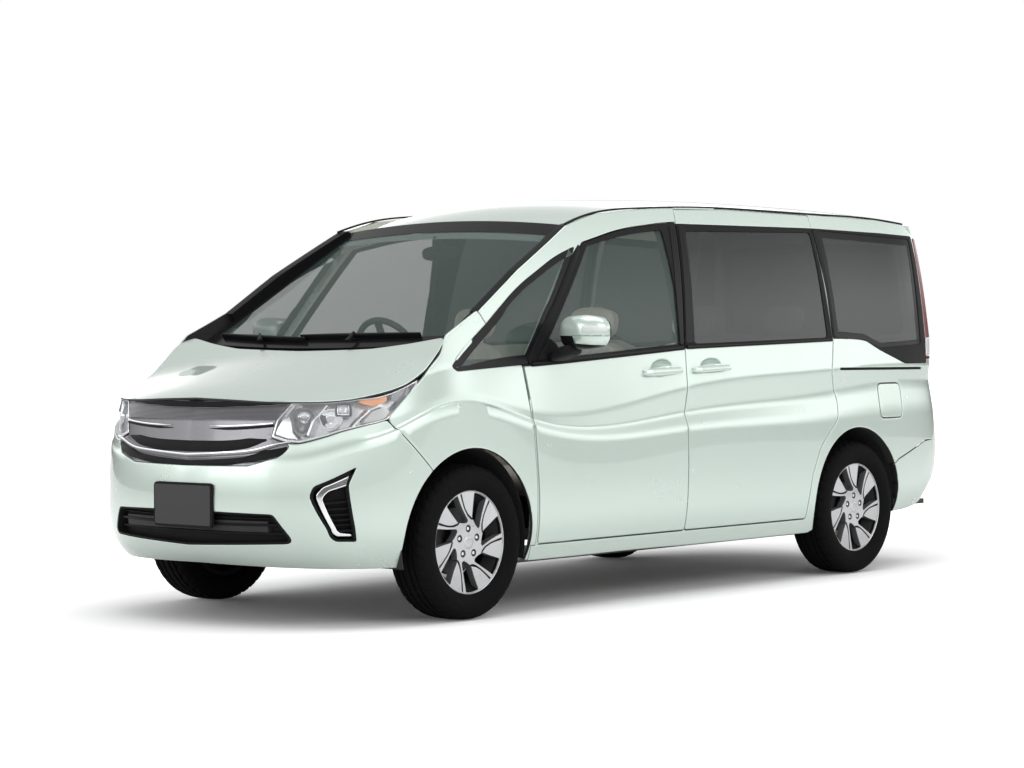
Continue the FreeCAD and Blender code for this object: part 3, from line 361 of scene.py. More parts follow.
def movedIn(loop, amount):
    # the closed line moved to its left, which is into the panel
    before, after = unit(loop - np.roll(loop, 1, 0)), unit(np.roll(loop, -1, 0) - loop)
    left = unit(leftOf(before + after))
    share = np.clip((left * leftOf(after)).sum(1), 0.45, 1)
    return loop + left * (amount / share)[:, None]


def rounded(points, radius, step=0.01):
    # a closed line with round corners, each radius cut down to the sides' room
    points = np.asarray(points, float)
    radii = np.broadcast_to(radius, len(points))
    result = []
    for k, corner in enumerate(points):
        to, go = points[k - 1] - corner, points[(k + 1) % len(points)] - corner
        room = 0.45 * min(np.hypot(*to), np.hypot(*go))
        to, go = to / np.hypot(*to), go / np.hypot(*go)
        bend = math.acos(max(-1, min(1, float(to @ go))))
        if radii[k] <= 0 or bend > math.pi - 0.03:
            result.append(corner[None])
            continue
        cut = min(radii[k] / math.tan(bend / 2), room)
        count = max(3, int(cut * 2 / step))
        t = np.linspace(0, 1, count + 1)[:, None]
        start, end = corner + to * cut, corner + go * cut
        result.append((1 - t) ** 2 * start + 2 * t * (1 - t) * corner + t * t * end)
    return dense(np.concatenate(result), step)


def dense(points, step=0.012):
    # a closed line with points added so that no side is longer than the step
    points = np.asarray(points, float)
    result = []
    for a, b in zip(points, np.roll(points, -1, 0)):
        count = max(1, math.ceil(np.hypot(*(b - a)) / step))
        result.append(a + (b - a) * (np.arange(count) / count)[:, None])
    return np.concatenate(result)


def circle(x, z, radius, count=120):
    turn = np.linspace(0, 2 * np.pi, count, endpoint=False)
    return np.column_stack([x + radius * np.cos(turn), z + radius * np.sin(turn)])


def newPiece(name, verts, faces, materials, faceMaterial=None, smooth=35):
    mesh = bpy.data.meshes.new(name)
    mesh.from_pydata([tuple(v) for v in verts], [], [tuple(map(int, f)) for f in faces])
    for material in materials:
        mesh.materials.append(material)
    if faceMaterial is not None:
        mesh.polygons.foreach_set("material_index", np.array(faceMaterial, np.int32))
    mesh.update()
    piece = bpy.data.objects.new(name, mesh)
    bpy.context.scene.collection.objects.link(piece)
    smoothed(piece, smooth)
    return piece


def alone(piece):
    # operators act on all that is selected, so one piece is selected and no other
    bpy.ops.object.select_all(action="DESELECT")
    piece.select_set(True)
    bpy.context.view_layer.objects.active = piece
    return piece


def smoothed(piece, angle=35):
    alone(piece)
    bpy.ops.object.shade_smooth_by_angle(angle=math.radians(angle))
    return piece


def ringFaces(rings, count, joined=False):
    # faces between rings of points, and between the last ring and the first where they are joined
    faces = []
    for j in range(rings if joined else rings - 1):
        n = (j + 1) % rings
        faces += [(j * count + i, j * count + (i + 1) % count, n * count + (i + 1) % count, n * count + i)
                  for i in range(count)]
    return faces


def panel(name, loops, place, depths, materials, roll=None, step=0.02, creases=(), backStep=0.06,
          wallFinish=0):
    # a wall over closed lines of the flat map, from one depth to another, with folded edges
    roll = body["roll"] if roll is None else roll
    top, bottom = depths
    rings = [  # how far in from the edge, and how deep
        (roll + 0.002, top), (roll, top), (roll * 0.62, top + roll * 0.08), (roll * 0.29, top + roll * 0.29),
        (roll * 0.08, top + roll * 0.62), (0.0, top + roll), (0.0, bottom)]
    inner = [movedIn(loop, rings[0][0]) for loop in loops]
    low, high = np.min([loop.min(0) for loop in loops], 0), np.max([loop.max(0) for loop in loops], 0)

    def net(loops, step):
        marks = [low[1]] + [c for c in sorted(creases) if low[1] < c < high[1]] + [high[1]]
        ys = np.concatenate([np.linspace(a, b, max(1, round((b - a) / step)) + 1)[:-1]
                             for a, b in zip(marks, marks[1:])])
        points = np.array([(x, y) for y in ys for x in np.arange(low[0] + step / 2, high[0], step)])
        points = points.reshape(-1, 2)
        points = points[insideOdd(points, loops)]
        for loop in loops:
            if len(points):
                points = points[nearest(points, loop) > step * 0.42]
        return points

    sheets = []
    for edge, gap, depth in ((inner, step, top), (loops, backStep, bottom)):
        flat, faces, source = triangles(net(edge, gap), edge, lambda middles: insideOdd(middles, edge))
        index = {}
        for k, origin in enumerate(source):
            for given in origin:
                index[given] = k
        sheets.append((place(flat, depth), faces, index))
    verts, faces, finish = list(sheets[0][0]), [tuple(f) for f in sheets[0][1]], [0] * len(sheets[0][1])
    backBase = len(verts)
    verts += list(sheets[1][0])
    faces += [tuple(backBase + f[::-1]) for f in sheets[1][1]]
    finish += [min(1, len(materials) - 1)] * len(sheets[1][1])
    start = 0
    for loop in loops:
        count = len(loop)
        last = [sheets[0][2][start + k] for k in range(count)]
        for amount, depth in rings[1:]:
            if depth == bottom:
                here = [backBase + sheets[1][2][start + k] for k in range(count)]
            else:
                here = list(range(len(verts), len(verts) + count))
                verts += list(place(movedIn(loop, amount), depth))
            for k in range(count):
                n = (k + 1) % count
                faces.append((here[k], here[n], last[n], last[k]))
                finish.append(wallFinish if depth > top + roll * 0.5 else 0)
            last = here
        start += count
    return newPiece(name, verts, faces, materials, finish)


def clone(piece, name):
    twin = piece.copy()
    twin.data = piece.data.copy()
    twin.name = twin.data.name = name
    bpy.context.scene.collection.objects.link(twin)
    return twin


def flipped(piece):
    # moves a piece to the other side of the car
    piece.data.transform(Matrix.Scale(-1, 4, (0, 1, 0)))
    piece.data.flip_normals()
    return piece


def settle(piece, bodyName, slotName, *nodes):
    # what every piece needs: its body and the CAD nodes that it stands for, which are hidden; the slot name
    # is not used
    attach(piece, bodyName)
    if nodes:
        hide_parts(*nodes)
    return piece


def twoSided(name, make, bodyName="body_shell", slotName="black_plastic", nodes=()):
    # one piece from a function on the left, and its mirror image on the right
    left = make(name + "Left")
    pair = left, flipped(clone(left, name + "Right"))
    for piece, side in zip(pair, ("left", "right")):
        settle(piece, bodyName.replace("SIDE", side), slotName, *(n.replace("SIDE", side) for n in nodes))
    return pair


def smallPanels(name, loops, depths, materials, bodyName="body_shell", slotName="black_plastic", nodes=(),
                **more):
    return twoSided(name, lambda n: panel(n, loops, onSkin, depths, materials, **more), bodyName, slotName,
                    nodes)


# Finishes: node trees, each link a node and its output, then a node and its input
def added(tree, kind, values=None, operation=None):
    node = tree.nodes.new("ShaderNode" + kind)
    if operation:
        node.operation = operation
    return filled(node, values or {})


def filled(node, values):
    for slot, value in values.items():
        node.inputs[slot].default_value = value
    return node


def wire(tree, *links):
    for source, output, target, given in links:
        tree.links.new(source.outputs[output], target.inputs[given])


def spreadOf(tree, low, high):
    return filled(added(tree, "MapRange"), {"To Min": low, "To Max": high})


def shaderOf(name, colour, rough, specular=0.5):
    material = bpy.data.materials.new(name)
    material.use_nodes = True
    shader = material.node_tree.nodes["Principled BSDF"]
    filled(shader, {"Base Color": (*colour, 1), "Roughness": rough, "Specular IOR Level": specular})
    return material, material.node_tree, shader


def finishOf(name, colour, rough, metallic=0.0, coat=0.0, coatRough=0.05, specular=0.5):
    material, _, shader = shaderOf(name, colour, rough, specular)
    filled(shader, {"Metallic": metallic, "Coat Weight": coat, "Coat Roughness": coatRough})
    return material


def noiseOf(tree, scale, detail):
    noise = added(tree, "TexNoise", {"Scale": scale, "Detail": detail})
    wire(tree, (added(tree, "TexCoord"), "Object", noise, "Vector"))
    return noise


def varied(material, scale, dark, light, detail=3.0, low=0.35, high=0.65):
    # the base colour wanders between two tones
    tree = material.node_tree
    ramp = added(tree, "ValToRGB")
    for element, at, tone in zip(ramp.color_ramp.elements, (low, high), (dark, light)):
        element.position, element.color = at, (*tone, 1)
    wire(tree, (noiseOf(tree, scale, detail), 0, ramp, 0),
         (ramp, 0, tree.nodes["Principled BSDF"], "Base Color"))
    return material


def bumped(material, scale, strength, distance):
    tree = material.node_tree
    bump = added(tree, "Bump", {"Strength": strength, "Distance": distance})
    wire(tree, (noiseOf(tree, scale, 4.0), 0, bump, "Height"),
         (bump, "Normal", tree.nodes["Principled BSDF"], "Normal"))
    return material


def roughened(material, scale, low, high, detail=5.0):
    tree = material.node_tree
    spread = spreadOf(tree, low, high)
    wire(tree, (noiseOf(tree, scale, detail), 0, spread, "Value"),
         (spread, 0, tree.nodes["Principled BSDF"], "Roughness"))
    return material


def glassOf(name, colour, alpha, rough=0.02):
    # a thin pane: mostly clear, with a plain tint and its gloss; light on its way in is not dimmed
    material, tree, shader = shaderOf(name, colour, rough)
    seen, inward = added(tree, "LightPath"), added(tree, "Math", operation="MAXIMUM")
    cover = spreadOf(tree, alpha, 0.05)
    wire(tree, (seen, "Is Shadow Ray", inward, 0), (seen, "Is Diffuse Ray", inward, 1),
         (inward, 0, cover, "Value"), (cover, 0, shader, "Alpha"))
    return roughened(material, 3.0, rough, rough + 0.03, 3.0)


paint = finishOf("paint", (0.56, 0.66, 0.6), 0.26, 0.5, 1.0, 0.03)
varied(paint, 1800, (0.57, 0.67, 0.61), (0.63, 0.73, 0.67), 1.0)
roughened(paint, 5.0, 0.24, 0.29)
blackGloss = roughened(finishOf("blackGloss", (0.008, 0.008, 0.009), 0.14, specular=0.12), 14, 0.12, 0.22)
blackPlastic = bumped(finishOf("blackPlastic", (0.012, 0.012, 0.0125), 0.55, specular=0.08), 900, 0.25,
                      0.0004)
blackSatin = roughened(finishOf("blackSatin", (0.01, 0.01, 0.011), 0.38, specular=0.08), 30, 0.32, 0.45)
rubber = bumped(roughened(finishOf("rubber", (0.006, 0.006, 0.0065), 0.7, specular=0.06), 25, 0.65, 0.85),
                260, 0.2, 0.0004)
chrome = roughened(finishOf("chrome", (0.86, 0.87, 0.88), 0.08, 1.0), 20, 0.05, 0.12)
smokedChrome = roughened(finishOf("smokedChrome", (0.16, 0.16, 0.17), 0.2, 0.85, 0.5), 16, 0.16, 0.28)
machinedAlloy = roughened(finishOf("machinedAlloy", (0.6, 0.605, 0.615), 0.28, 0.9, 0.3), 60, 0.24, 0.36)
darkAlloy = roughened(finishOf("darkAlloy", (0.2, 0.2, 0.205), 0.42, 0.5), 40, 0.35, 0.5)
wheelDark = roughened(finishOf("wheelDark", (0.008, 0.008, 0.009), 0.5, specular=0.25), 30, 0.45, 0.6)
castSteel = bumped(roughened(finishOf("castSteel", (0.12, 0.12, 0.125), 0.55, 0.7), 18, 0.45, 0.7), 160,
                   0.3, 0.001)
clearGlass = glassOf("clearGlass", (0.05, 0.08, 0.07), 0.34)
darkGlass = glassOf("darkGlass", (0.01, 0.013, 0.013), 0.8)
lampGlass = glassOf("lampGlass", (0.75, 0.78, 0.8), 0.1)
redLens = glassOf("redLens", (0.16, 0.004, 0.006), 0.93, 0.05)
clearLens = glassOf("clearLens", (0.8, 0.8, 0.8), 0.55, 0.05)
lampDark = roughened(finishOf("lampDark", (0.05, 0.05, 0.053), 0.3, 0.6), 20, 0.22, 0.38)
lampSilver = roughened(finishOf("lampSilver", (0.5, 0.51, 0.52), 0.24, 0.9), 24, 0.18, 0.32)
lampRed = roughened(finishOf("lampRed", (0.2, 0.004, 0.005), 0.35), 20, 0.25, 0.45)
amberLens = glassOf("amberLens", (0.8, 0.27, 0.04), 0.9, 0.1)
plateGrey = roughened(finishOf("plateGrey", (0.05, 0.05, 0.052), 0.42, specular=0.2), 12, 0.36, 0.48)
underseal = bumped(roughened(finishOf("underseal", (0.018, 0.018, 0.019), 0.7), 20, 0.6, 0.8), 120, 0.4,
                   0.0015)
steelPipe = roughened(varied(finishOf("steelPipe", (0.3, 0.29, 0.27), 0.4, 0.9), 9, (0.25, 0.23, 0.21),
                             (0.38, 0.37, 0.35)), 30, 0.3, 0.5)
dashPlastic = bumped(finishOf("dashPlastic", (0.05, 0.05, 0.055), 0.55), 700, 0.3, 0.0005)
trimPlastic = bumped(finishOf("trimPlastic", (0.52, 0.5, 0.45), 0.65, specular=0.3), 300, 0.08, 0.0003)
print("finishes ready")

# Outlines in side view, x and z
outline = {
    "frontDoor": [(1.054, 0.296), (1.064, 0.56), (1.086, 0.86), (1.108, 1.06), (1.06, 1.068), (0.616, 1.592),
                  (0.32, 1.66), (0.009, 1.694), (-0.108, 1.702), (-0.066, 1.4), (-0.028, 1.13),
                  (0.002, 0.803), (0.016, 0.296)],
    "frontWindow": [(1.004, 1.079), (0.116, 1.135), (-0.03, 1.143), (0.009, 1.666), (0.3, 1.637),
                    (0.582, 1.581)],
    "slidingDoor": [(0.01, 0.296), (-0.004, 0.803), (-0.034, 1.13), (-0.072, 1.4), (-0.124, 1.764),
                    (-0.5, 1.774), (-1.216, 1.766), (-1.238, 1.157), (-1.183, 1.004), (-1.231, 0.852),
                    (-1.218, 0.77), (-1.06, 0.638), (-0.988, 0.505), (-0.959, 0.371), (-0.952, 0.296)],
    "slidingWindow": [(-0.11, 1.142), (-0.175, 1.664), (-1.195, 1.681), (-1.195, 1.165)],
    "quarterWindow": [(1.596, 1.06), (1.556, 1.04), (1.082, 1.063), (0.664, 1.582), (0.828, 1.53),
                      (1.109, 1.395), (1.325, 1.24)],
    "rearWindow": [(-1.262, 1.165), (-1.262, 1.695), (-2.085, 1.668), (-2.052, 1.128), (-1.664, 1.113),
                   (-1.523, 1.153)],
    "lampTail": [(-2.4, 1.05), (-2.113, 1.05), (-2.122, 1.671), (-2.4, 1.671)],
    "fuelFlap": [(-1.61, 0.765), (-1.61, 0.932), (-1.808, 0.932), (-1.808, 0.765)],
}
seam = [(1.587, 1.19), (1.373, 1.287), (1.085, 1.468), (0.7, 1.672), (0.48, 1.728), (0.136, 1.76),
        (-0.145, 1.773), (-0.5, 1.779), (-1.238, 1.771), (-1.813, 1.762), (-2.062, 1.742), (-2.126, 1.69)]
arch = {"front": (1.49, 0.335, 0.385), "rear": (-1.4, 0.345, 0.377)}      # middle x and z, and radius


def shiftedLoop(points, amount):
    # a closed line moved out by an amount, whichever way round it was drawn
    loop = np.asarray(points, float)
    area = (loop[:, 0] * np.roll(loop[:, 1], -1) - loop[:, 1] * np.roll(loop[:, 0], -1)).sum()
    if area < 0:
        loop = loop[::-1]
    return movedIn(loop, -amount)


def sideLine(points, radius=0.012, out=0.0):
    # a closed line drawn in side view, with round corners and perhaps moved out, on the flat map
    return skinMap(rounded(shiftedLoop(points, out) if out else points, radius))


def sampled(points, step=0.015, least=4):
    # a smooth open line through the points, or a straight one where there are only two
    points = np.asarray(points, float)
    run = runOf(points)
    where = np.linspace(0, run[-1], max(least, int(run[-1] / step)))
    if len(points) < 3:
        return np.column_stack([np.interp(where, run, points[:, k]) for k in (0, 1)])
    return splineAt(run, points, splineSlopes(run, points), where)


skinCreases = [0.765, 0.829, 0.938, 1.13]
frontBelt = [(1.3, 1.0441), (-0.2, 1.1308)]       # top of the painted door below the window
slideBelt = [(0.2, 1.117), (-1.4, 1.154)]
slideBand = [(0.2, 1.697), (-1.4, 1.704)]         # foot of the painted band over the window


def above(belt, top=1.9):
    return skinMap(dense([belt[0], (belt[0][0], top), (belt[1][0], top), belt[1]], 0.03))


def below(belt, foot=0.2):
    return skinMap(dense([belt[0], belt[1], (belt[1][0], foot), (belt[0][0], foot)], 0.03))


doorLine = rounded(outline["frontDoor"], [0.012, 0.2, 0.3, 0.012, 0.006, 0.03, 2.0, 0.3, 0.01, 0.4, 0.5,
                                          0.4, 0.012])
slideLine = rounded(outline["slidingDoor"], [0.012, 0.4, 0.5, 0.4, 0.01, 0.5, 0.012, 0.06, 0.07, 0.07, 0.07,
                                             0.2, 0.2, 0.1, 0.012])
doorLoop, slideLoop = skinMap(doorLine), skinMap(slideLine)
doorGap = skinMap(shiftedLoop(doorLine, body["shutGap"]))
slideGap = skinMap(shiftedLoop(slideLine, body["shutGap"] - 0.0005))
windowLoop = sideLine(outline["frontWindow"], [0.02, 0.3, 0.02, 0.02, 2.4, 0.03])
slideWindow = sideLine(outline["slidingWindow"], 0.02)
quarterWindow = sideLine(outline["quarterWindow"], [0.02, 0.03, 0.006, 0.01, 1.0, 1.2, 0.8])
rearWindow = sideLine(outline["rearWindow"], [0.02, 0.02, 0.02, 0.02, 0.06, 0.06])
frontArch, rearArch = skinMap(circle(*arch["front"])), skinMap(circle(*arch["rear"]))


def sidePanels(*given, **more):
    return smallPanels(*given, creases=skinCreases, **more)


def cupAt(x, z):
    # the outline of a handle's cup, on the flat map
    return circle(0, 0, 1, 48) * (0.078, 0.035) + skinMap([(x, z)])[0]


def darkArch(piece):
    # the edges of panels round the wheels are coated dark
    piece.data.materials.append(underseal)
    for face in piece.data.polygons:
        x, _, z = face.center
        for middleX, middleZ, radius in arch.values():
            if math.hypot(x - middleX, z - middleZ) < radius + 0.0015:
                face.material_index = len(piece.data.materials) - 1
    return piece


cupLoops = {"frontHandle": cupAt(0.165, 1.036), "slideHandle": cupAt(-0.205, 1.043)}
doorBody = "front_door_SIDE_body"
wall = (0.0, body["wall"])
painted = [paint, trimPlastic]
sidePanels("frontDoor", region([doorLoop], [above(frontBelt), cupLoops["frontHandle"]]), wall, painted,
           doorBody, "body_paint", ["front_door_SIDE"])
sidePanels("frontDoorFrame", region([doorLoop], [below(frontBelt), windowLoop]), (0.002, 0.045), [blackSatin],
           doorBody)
sidePanels("frontDoorGlass", region([windowLoop], step=0.02), (0.008, 0.012), [clearGlass], doorBody,
           "clear_glass", ["door_glass_SIDE"], roll=0.001, step=0.06)
slidingDoor = region([slideLoop], [above(slideBelt), rearArch, cupLoops["slideHandle"]])
for piece in sidePanels("slidingDoor", slidingDoor, wall, painted, "body_shell", "body_paint",
                        ["sliding_door_SIDE"]):
    darkArch(piece)
sidePanels("slidingBand", region([slideLoop], [below(slideBand)]), wall, painted, "body_shell", "body_paint")
sidePanels("slidingFrame", region([slideLoop], [below(slideBelt), above(slideBand), slideWindow]),
           (0.002, 0.045), [blackSatin])
sidePanels("slidingGlass", region([slideWindow], step=0.02), (0.006, 0.01), [darkGlass], "body_shell",
           "dark_glass", ["privacy_glass"], roll=0.001, step=0.06)
print("doors made")


# Sides behind and ahead of the doors
def mirrorMap(loop, middle=0.0):
    return loop * (-1, 1) + (2 * middle, 0)


frameLine = seam[1:] + [(-2.062, 1.9), (-2.4, 1.9), (-2.4, 0.64), (-2.03, 0.64), (-1.77, 0.556),
                        (-1.4, 0.345), (-1.0, 0.222), (1.094, 0.222), (1.1, 1.061), (1.564, 1.064),
                        (1.57, 1.09), seam[0]]
fenderLine = [(1.099, 0.226), (1.099, 0.29), (1.07, 0.29), (1.08, 0.56), (1.102, 0.86), (1.124, 1.064),
              (1.558, 1.064), (1.56, 1.092), (1.33, 1.236), (1.372, 1.292), (1.48, 1.242), (1.59, 1.192),
              (1.618, 1.16), (1.65, 1.112), (1.722, 1.058), (1.795, 0.991), (1.946, 0.851), (1.742, 0.652),
              (1.49, 0.335)]
tailgateLine = [(0, 0.6), (0.655, 0.6), (0.655, 1.15), (0.59, 1.7), (0.59, 1.9), (0, 1.9)]
tailWindow = [(0, 1.165), (0.59, 1.18), (0.56, 1.64), (0, 1.665)]
gap = body["shutGap"]
tailGap = endMap(dense(shiftedLoop(wholeLine(tailgateLine), gap), 0.02), "rear")
lampTail = rounded(np.concatenate([
    skinMap([(-2.113, 1.05)]), endMap([(0.661, 1.05), (0.661, 1.15), (0.599, 1.671)], "rear"),
    skinMap([(-2.122, 1.671)])]), [0.01, 0.01, 0, 0.01, 0.01])
flapLoop = sideLine(outline["fuelFlap"], 0.03)
frameLoop = skinMap(rounded(frameLine, 0.0, 0.02))
fenderLoop = skinMap(rounded(fenderLine, [0, 0, 0, .3, .3, .012, .01, .01, .0, .006, .2, .03, .02, .06, .2,
                                          .01, .03, .0, .0]))
fenderGap = skinMap(dense(shiftedLoop(fenderLine, 0.0025), 0.02))


def meeting(runs, surface, low, high, depth=0.0):
    # for runs along the plan, the row height at which the skin reaches another surface
    low, high = np.full(len(runs), low), np.full(len(runs), high)
    for _ in range(40):
        middle = (low + high) / 2
        spot = onSkin(np.column_stack([runs, middle]), depth)
        over = spot[:, 2] > surface(spot[:, :2])[:, 2]
        high, low = np.where(over, middle, high), np.where(over, low, middle)
    return np.column_stack([runs, low])


roofCurve = line([(0.655, 1.711), (0.445, 1.774), (0, 1.822), (-0.7, 1.84), (-1.4, 1.835), (-2.07, 1.802),
                  (-2.29, 1.772)])


def onRoof(points, depth=0.0):
    points = np.asarray(points, float)
    height = roofCurve(np.clip(points[:, 0], -2.29, 0.655))[:, 0]
    steep = (roofCurve(np.clip(points[:, 0] - 1e-3, -2.29, 0.655))[:, 0] - height) / 1e-3
    ahead = np.clip(points[:, 0] - 0.655, 0, None) * -steep
    return np.column_stack([points, height + ahead - 0.056 * (points[:, 1] / 0.655) ** 2 - depth])


tailRuns = np.linspace(4.6, planLength, 90)
roofFoot = meeting(tailRuns, onRoof, 1.45, 1.8)
belowRoof = np.concatenate([roofFoot, mirrorMap(roofFoot, planLength)[::-1][1:]])
belowRoof = np.concatenate([belowRoof, [(2 * planLength - 4.6, 0.2), (0.5, 0.2), (0.5, 1.8), (4.5, 1.8)]])
railSlot = sideLine([(-1.262, 1.006), (-1.262, 1.018), (-2.045, 1.012), (-2.045, 1.0)], 0.005)
frameCuts = [doorGap, slideGap, quarterWindow, rearWindow, frontArch, rearArch, lampTail, tailGap,
             fenderGap, railSlot]


def darkPillar(piece):
    # the sides of the pillars that face the windscreen are black
    piece.data.materials.append(blackSatin)
    edge = dense(np.array(seam[:4]), 0.02)
    for face in piece.data.polygons:
        x, z = face.center.x, face.center.z
        outer = face.normal.y * np.sign(face.center.y) > 0.3
        if x > 0.66 and z > 1.12 and not outer and nearest(np.array([(x, z)]), edge)[0] < 0.075:
            face.material_index = len(piece.data.materials) - 1
    return piece


flapGap = sideLine(outline["fuelFlap"], 0.036, gap)
for side, more in (("Left", [flapGap]), ("Right", [])):
    piece = panel("sideFrame" + side, region([frameLoop, belowRoof], frameCuts + more), onSkin, wall, painted,
                  creases=skinCreases)
    piece = flipped(piece) if side == "Right" else piece
    settle(darkPillar(darkArch(piece)), "body_shell", "body_paint", "side_frame_" + side.lower())
flap = panel("fuelFlap", region([flapLoop]), onSkin, (0.0, body["sheet"]), [paint], creases=skinCreases,
             roll=0.002)
settle(flap, "fuel_flap_body", "body_paint", "fuel_flap")
for piece in sidePanels("fender", region([fenderLoop], [doorGap, frontArch, quarterWindow]), (0.0, 0.012),
                        [paint, underseal], "body_shell", "body_paint", ["fender_SIDE"]):
    darkArch(piece)


def glazed(name, loop, border, glass, depth, slotName, nodes=()):
    # a pane with a black printed border: the border is a ring at the same depth
    inner = [movedIn(l, border) for l in region([loop], step=0.02)]
    depths = depth, depth + 0.004
    sidePanels(name, region(inner), depths, [glass], "body_shell", slotName, nodes, roll=0.0006, step=0.06)
    sidePanels(name + "Border", region([loop], inner), depths, [blackGloss], "body_shell", slotName,
               roll=0.001, step=0.03)


glazed("quarterGlass", quarterWindow, 0.03, clearGlass, 0.003, "clear_glass", ["front_quarter_glass"])
glazed("rearSideGlass", rearWindow, 0.035, darkGlass, 0.002, "dark_glass")

# Roof
roofEdge = [(0.66, 0.69), (0.48, 0.68), (0.136, 0.668), (-0.145, 0.655), (-2.066, 0.65)]
roofLoop = np.array(roofEdge + [(x, -y) for x, y in roofEdge[::-1]])
roof = panel("roofPanel", region([rounded(roofLoop, [0.03] + [0] * 8 + [0.03])]), onRoof, (0.0, 0.02),
             painted, step=0.04, roll=0.006)
settle(roof, "body_shell", "body_paint", "roof")

# Bonnet: its front edge runs where its surface leaves the skin of the nose
bonnetCurve = line([(1.54, 1.165, -0.03), (1.625, 1.138, -0.016), (1.7, 1.112, 0.024), (1.85, 1.068, 0.076),
                    (2.05, 1.01, 0.092), (2.2, 0.963, 0.098), (2.3, 0.924, 0.1)])      # height, side's fall
bonnetRidge = line([(1.55, 0.79, 0.0), (1.7, 0.77, 0.001), (1.9, 0.7, 0.002), (2.16, 0.53, 0.002),
                    (2.3, 0.44, 0.0)])      # soft crease: y, fall


def onBonnet(points, depth=0.0):
    points = np.asarray(points, float)
    values = bonnetCurve(points[:, 0])
    across = np.abs(points[:, 1])
    ridge, fall = bonnetRidge(points[:, 0]).T
    step = np.clip((across - ridge) / 0.12 + 0.5, 0, 1)
    crease = -fall * step * step * (3 - 2 * step)
    return np.column_stack([points, values[:, 0] - values[:, 1] * (points[:, 1] / 0.8) ** 2 + crease - depth])


frontRuns = np.linspace(0, 1.25, 110)
frontFlat = meeting(frontRuns, onBonnet, 0.75, 1.4, 0.002)
frontEdge = onSkin(frontFlat, 0.002)[:, :2]
frontEdge = frontEdge[frontEdge[:, 0] > 1.842]
bonnetBack = [(1.84, 0.803), (1.744, 0.806), (1.655, 0.803), (1.606, 0.788), (1.57, 0.745), (1.604, 0.6),
              (1.64, 0.4), (1.662, 0)]
half = np.concatenate([frontEdge, bonnetBack[1:]])
bonnetLoop = np.concatenate([half, (half * (1, -1))[::-1][1:-1]])
bonnetRadii = [0] * (len(frontEdge) + 2) + [0.2, 0.03, 0.02, 0.2, 0.2]
bonnetRadii += [0] * (len(bonnetLoop) - len(bonnetRadii))
bonnet = panel("bonnetPanel", region([rounded(bonnetLoop, bonnetRadii)]), onBonnet, (0.0, 0.008),
               [paint, underseal], step=0.02, roll=0.003, wallFinish=1)
settle(bonnet, "bonnet_body", "body_paint", "bonnet")

# Windscreen: base, middle and top with edge x, z and half width, then the middle's x, z
screenRows = [(1.523, 1.158, 0.745, 1.62, 1.136), (1.11, 1.388, 0.745, 1.172, 1.412),
              (0.645, 1.669, 0.7, 0.668, 1.708)]
screenDepth = 0.0503


def onScreen(points, depth=0.0):
    # flat map: across from right to left 0..1, up 0..1
    points = np.asarray(points, float)
    s, t = points[:, 0], points[:, 1]

    def spot(s, t):
        total = 0
        weights = (1 - t) ** 2, 2 * t * (1 - t), t * t
        for weight, (edgeX, edgeZ, reach, midX, midZ) in zip(weights, screenRows):
            ends, middle = (1 - s) ** 2 + s * s, 2 * s * (1 - s)
            row = np.column_stack([ends * edgeX + middle * (2 * midX - edgeX), (s * s - (1 - s) ** 2) * reach,
                                   ends * edgeZ + middle * (2 * midZ - edgeZ)])
            total = total + weight[:, None] * row
        return total
    here, tiny = spot(s, t), 1e-4
    outward = np.cross(spot(s + tiny, t) - here, spot(s, t + tiny) - here)
    outward /= np.linalg.norm(outward, axis=1)[:, None]
    return here - outward * np.broadcast_to(depth, len(s))[:, None]


def insideSkin(spots, depth):
    # whether each point of space lies further in than the depth under the side's skin
    flat = skinMap(np.column_stack([spots[:, 0], spots[:, 2]]))
    return np.abs(spots[:, 1]) < onSkin(flat, depth)[:, 1]


def screenEdge(ts, depth):
    low, high = np.full(len(ts), 0.5), np.full(len(ts), 1.0)
    for _ in range(24):
        middle = (low + high) / 2
        within = insideSkin(onScreen(np.column_stack([middle, ts])), depth)
        low, high = np.where(within, middle, low), np.where(within, high, middle)
    return np.column_stack([low, ts])


def screenLoop(depth, low, high, step=0.02):
    edge = screenEdge(np.linspace(low, high, int((high - low) / step)), depth)
    other = (edge * (-1, 1) + (1, 0))[::-1]
    return np.concatenate([edge, other])


screenOuter = screenLoop(0.04, 0.0, 1.0)
screenInner = screenLoop(screenDepth + 0.05, 0.075, 0.915)
stretch = np.array([1.45, 1.02])


def onScreenMetres(points, depth=0.0):
    return onScreen(np.asarray(points, float) / stretch, depth)


def screenPanel(name, loops, depths, material, slotName, *nodes, **more):
    loops = region(*[[dense(loop * stretch, 0.02)] for loop in loops], step=0.02)
    return settle(panel(name, loops, onScreenMetres, depths, [material], **more), "body_shell", slotName,
                  *nodes)


screenPanel("windscreenPane", [screenInner], (0.0, 0.004), clearGlass, "clear_glass", "windscreen",
            roll=0.0006, step=0.07)
screenPanel("windscreenBorder", [screenOuter, screenInner], (0.0, 0.004), blackGloss, "black_plastic",
            roll=0.001, step=0.04)
print("roof, bonnet and windscreen made")

# Nose: bumper, grille, lamps
grilleLine = [(0, 0.66), (0.34, 0.665), (0.47, 0.7), (0.52, 0.748), (0.436, 0.785), (0.53, 0.95),
              (0.54, 1.0), (0, 1.0)]
intakeLine = [(0, 0.33), (0.54, 0.352), (0.46, 0.47), (0, 0.478)]


def frontMap(points, radius=0.01):
    return endMap(rounded(points, radius), "front")


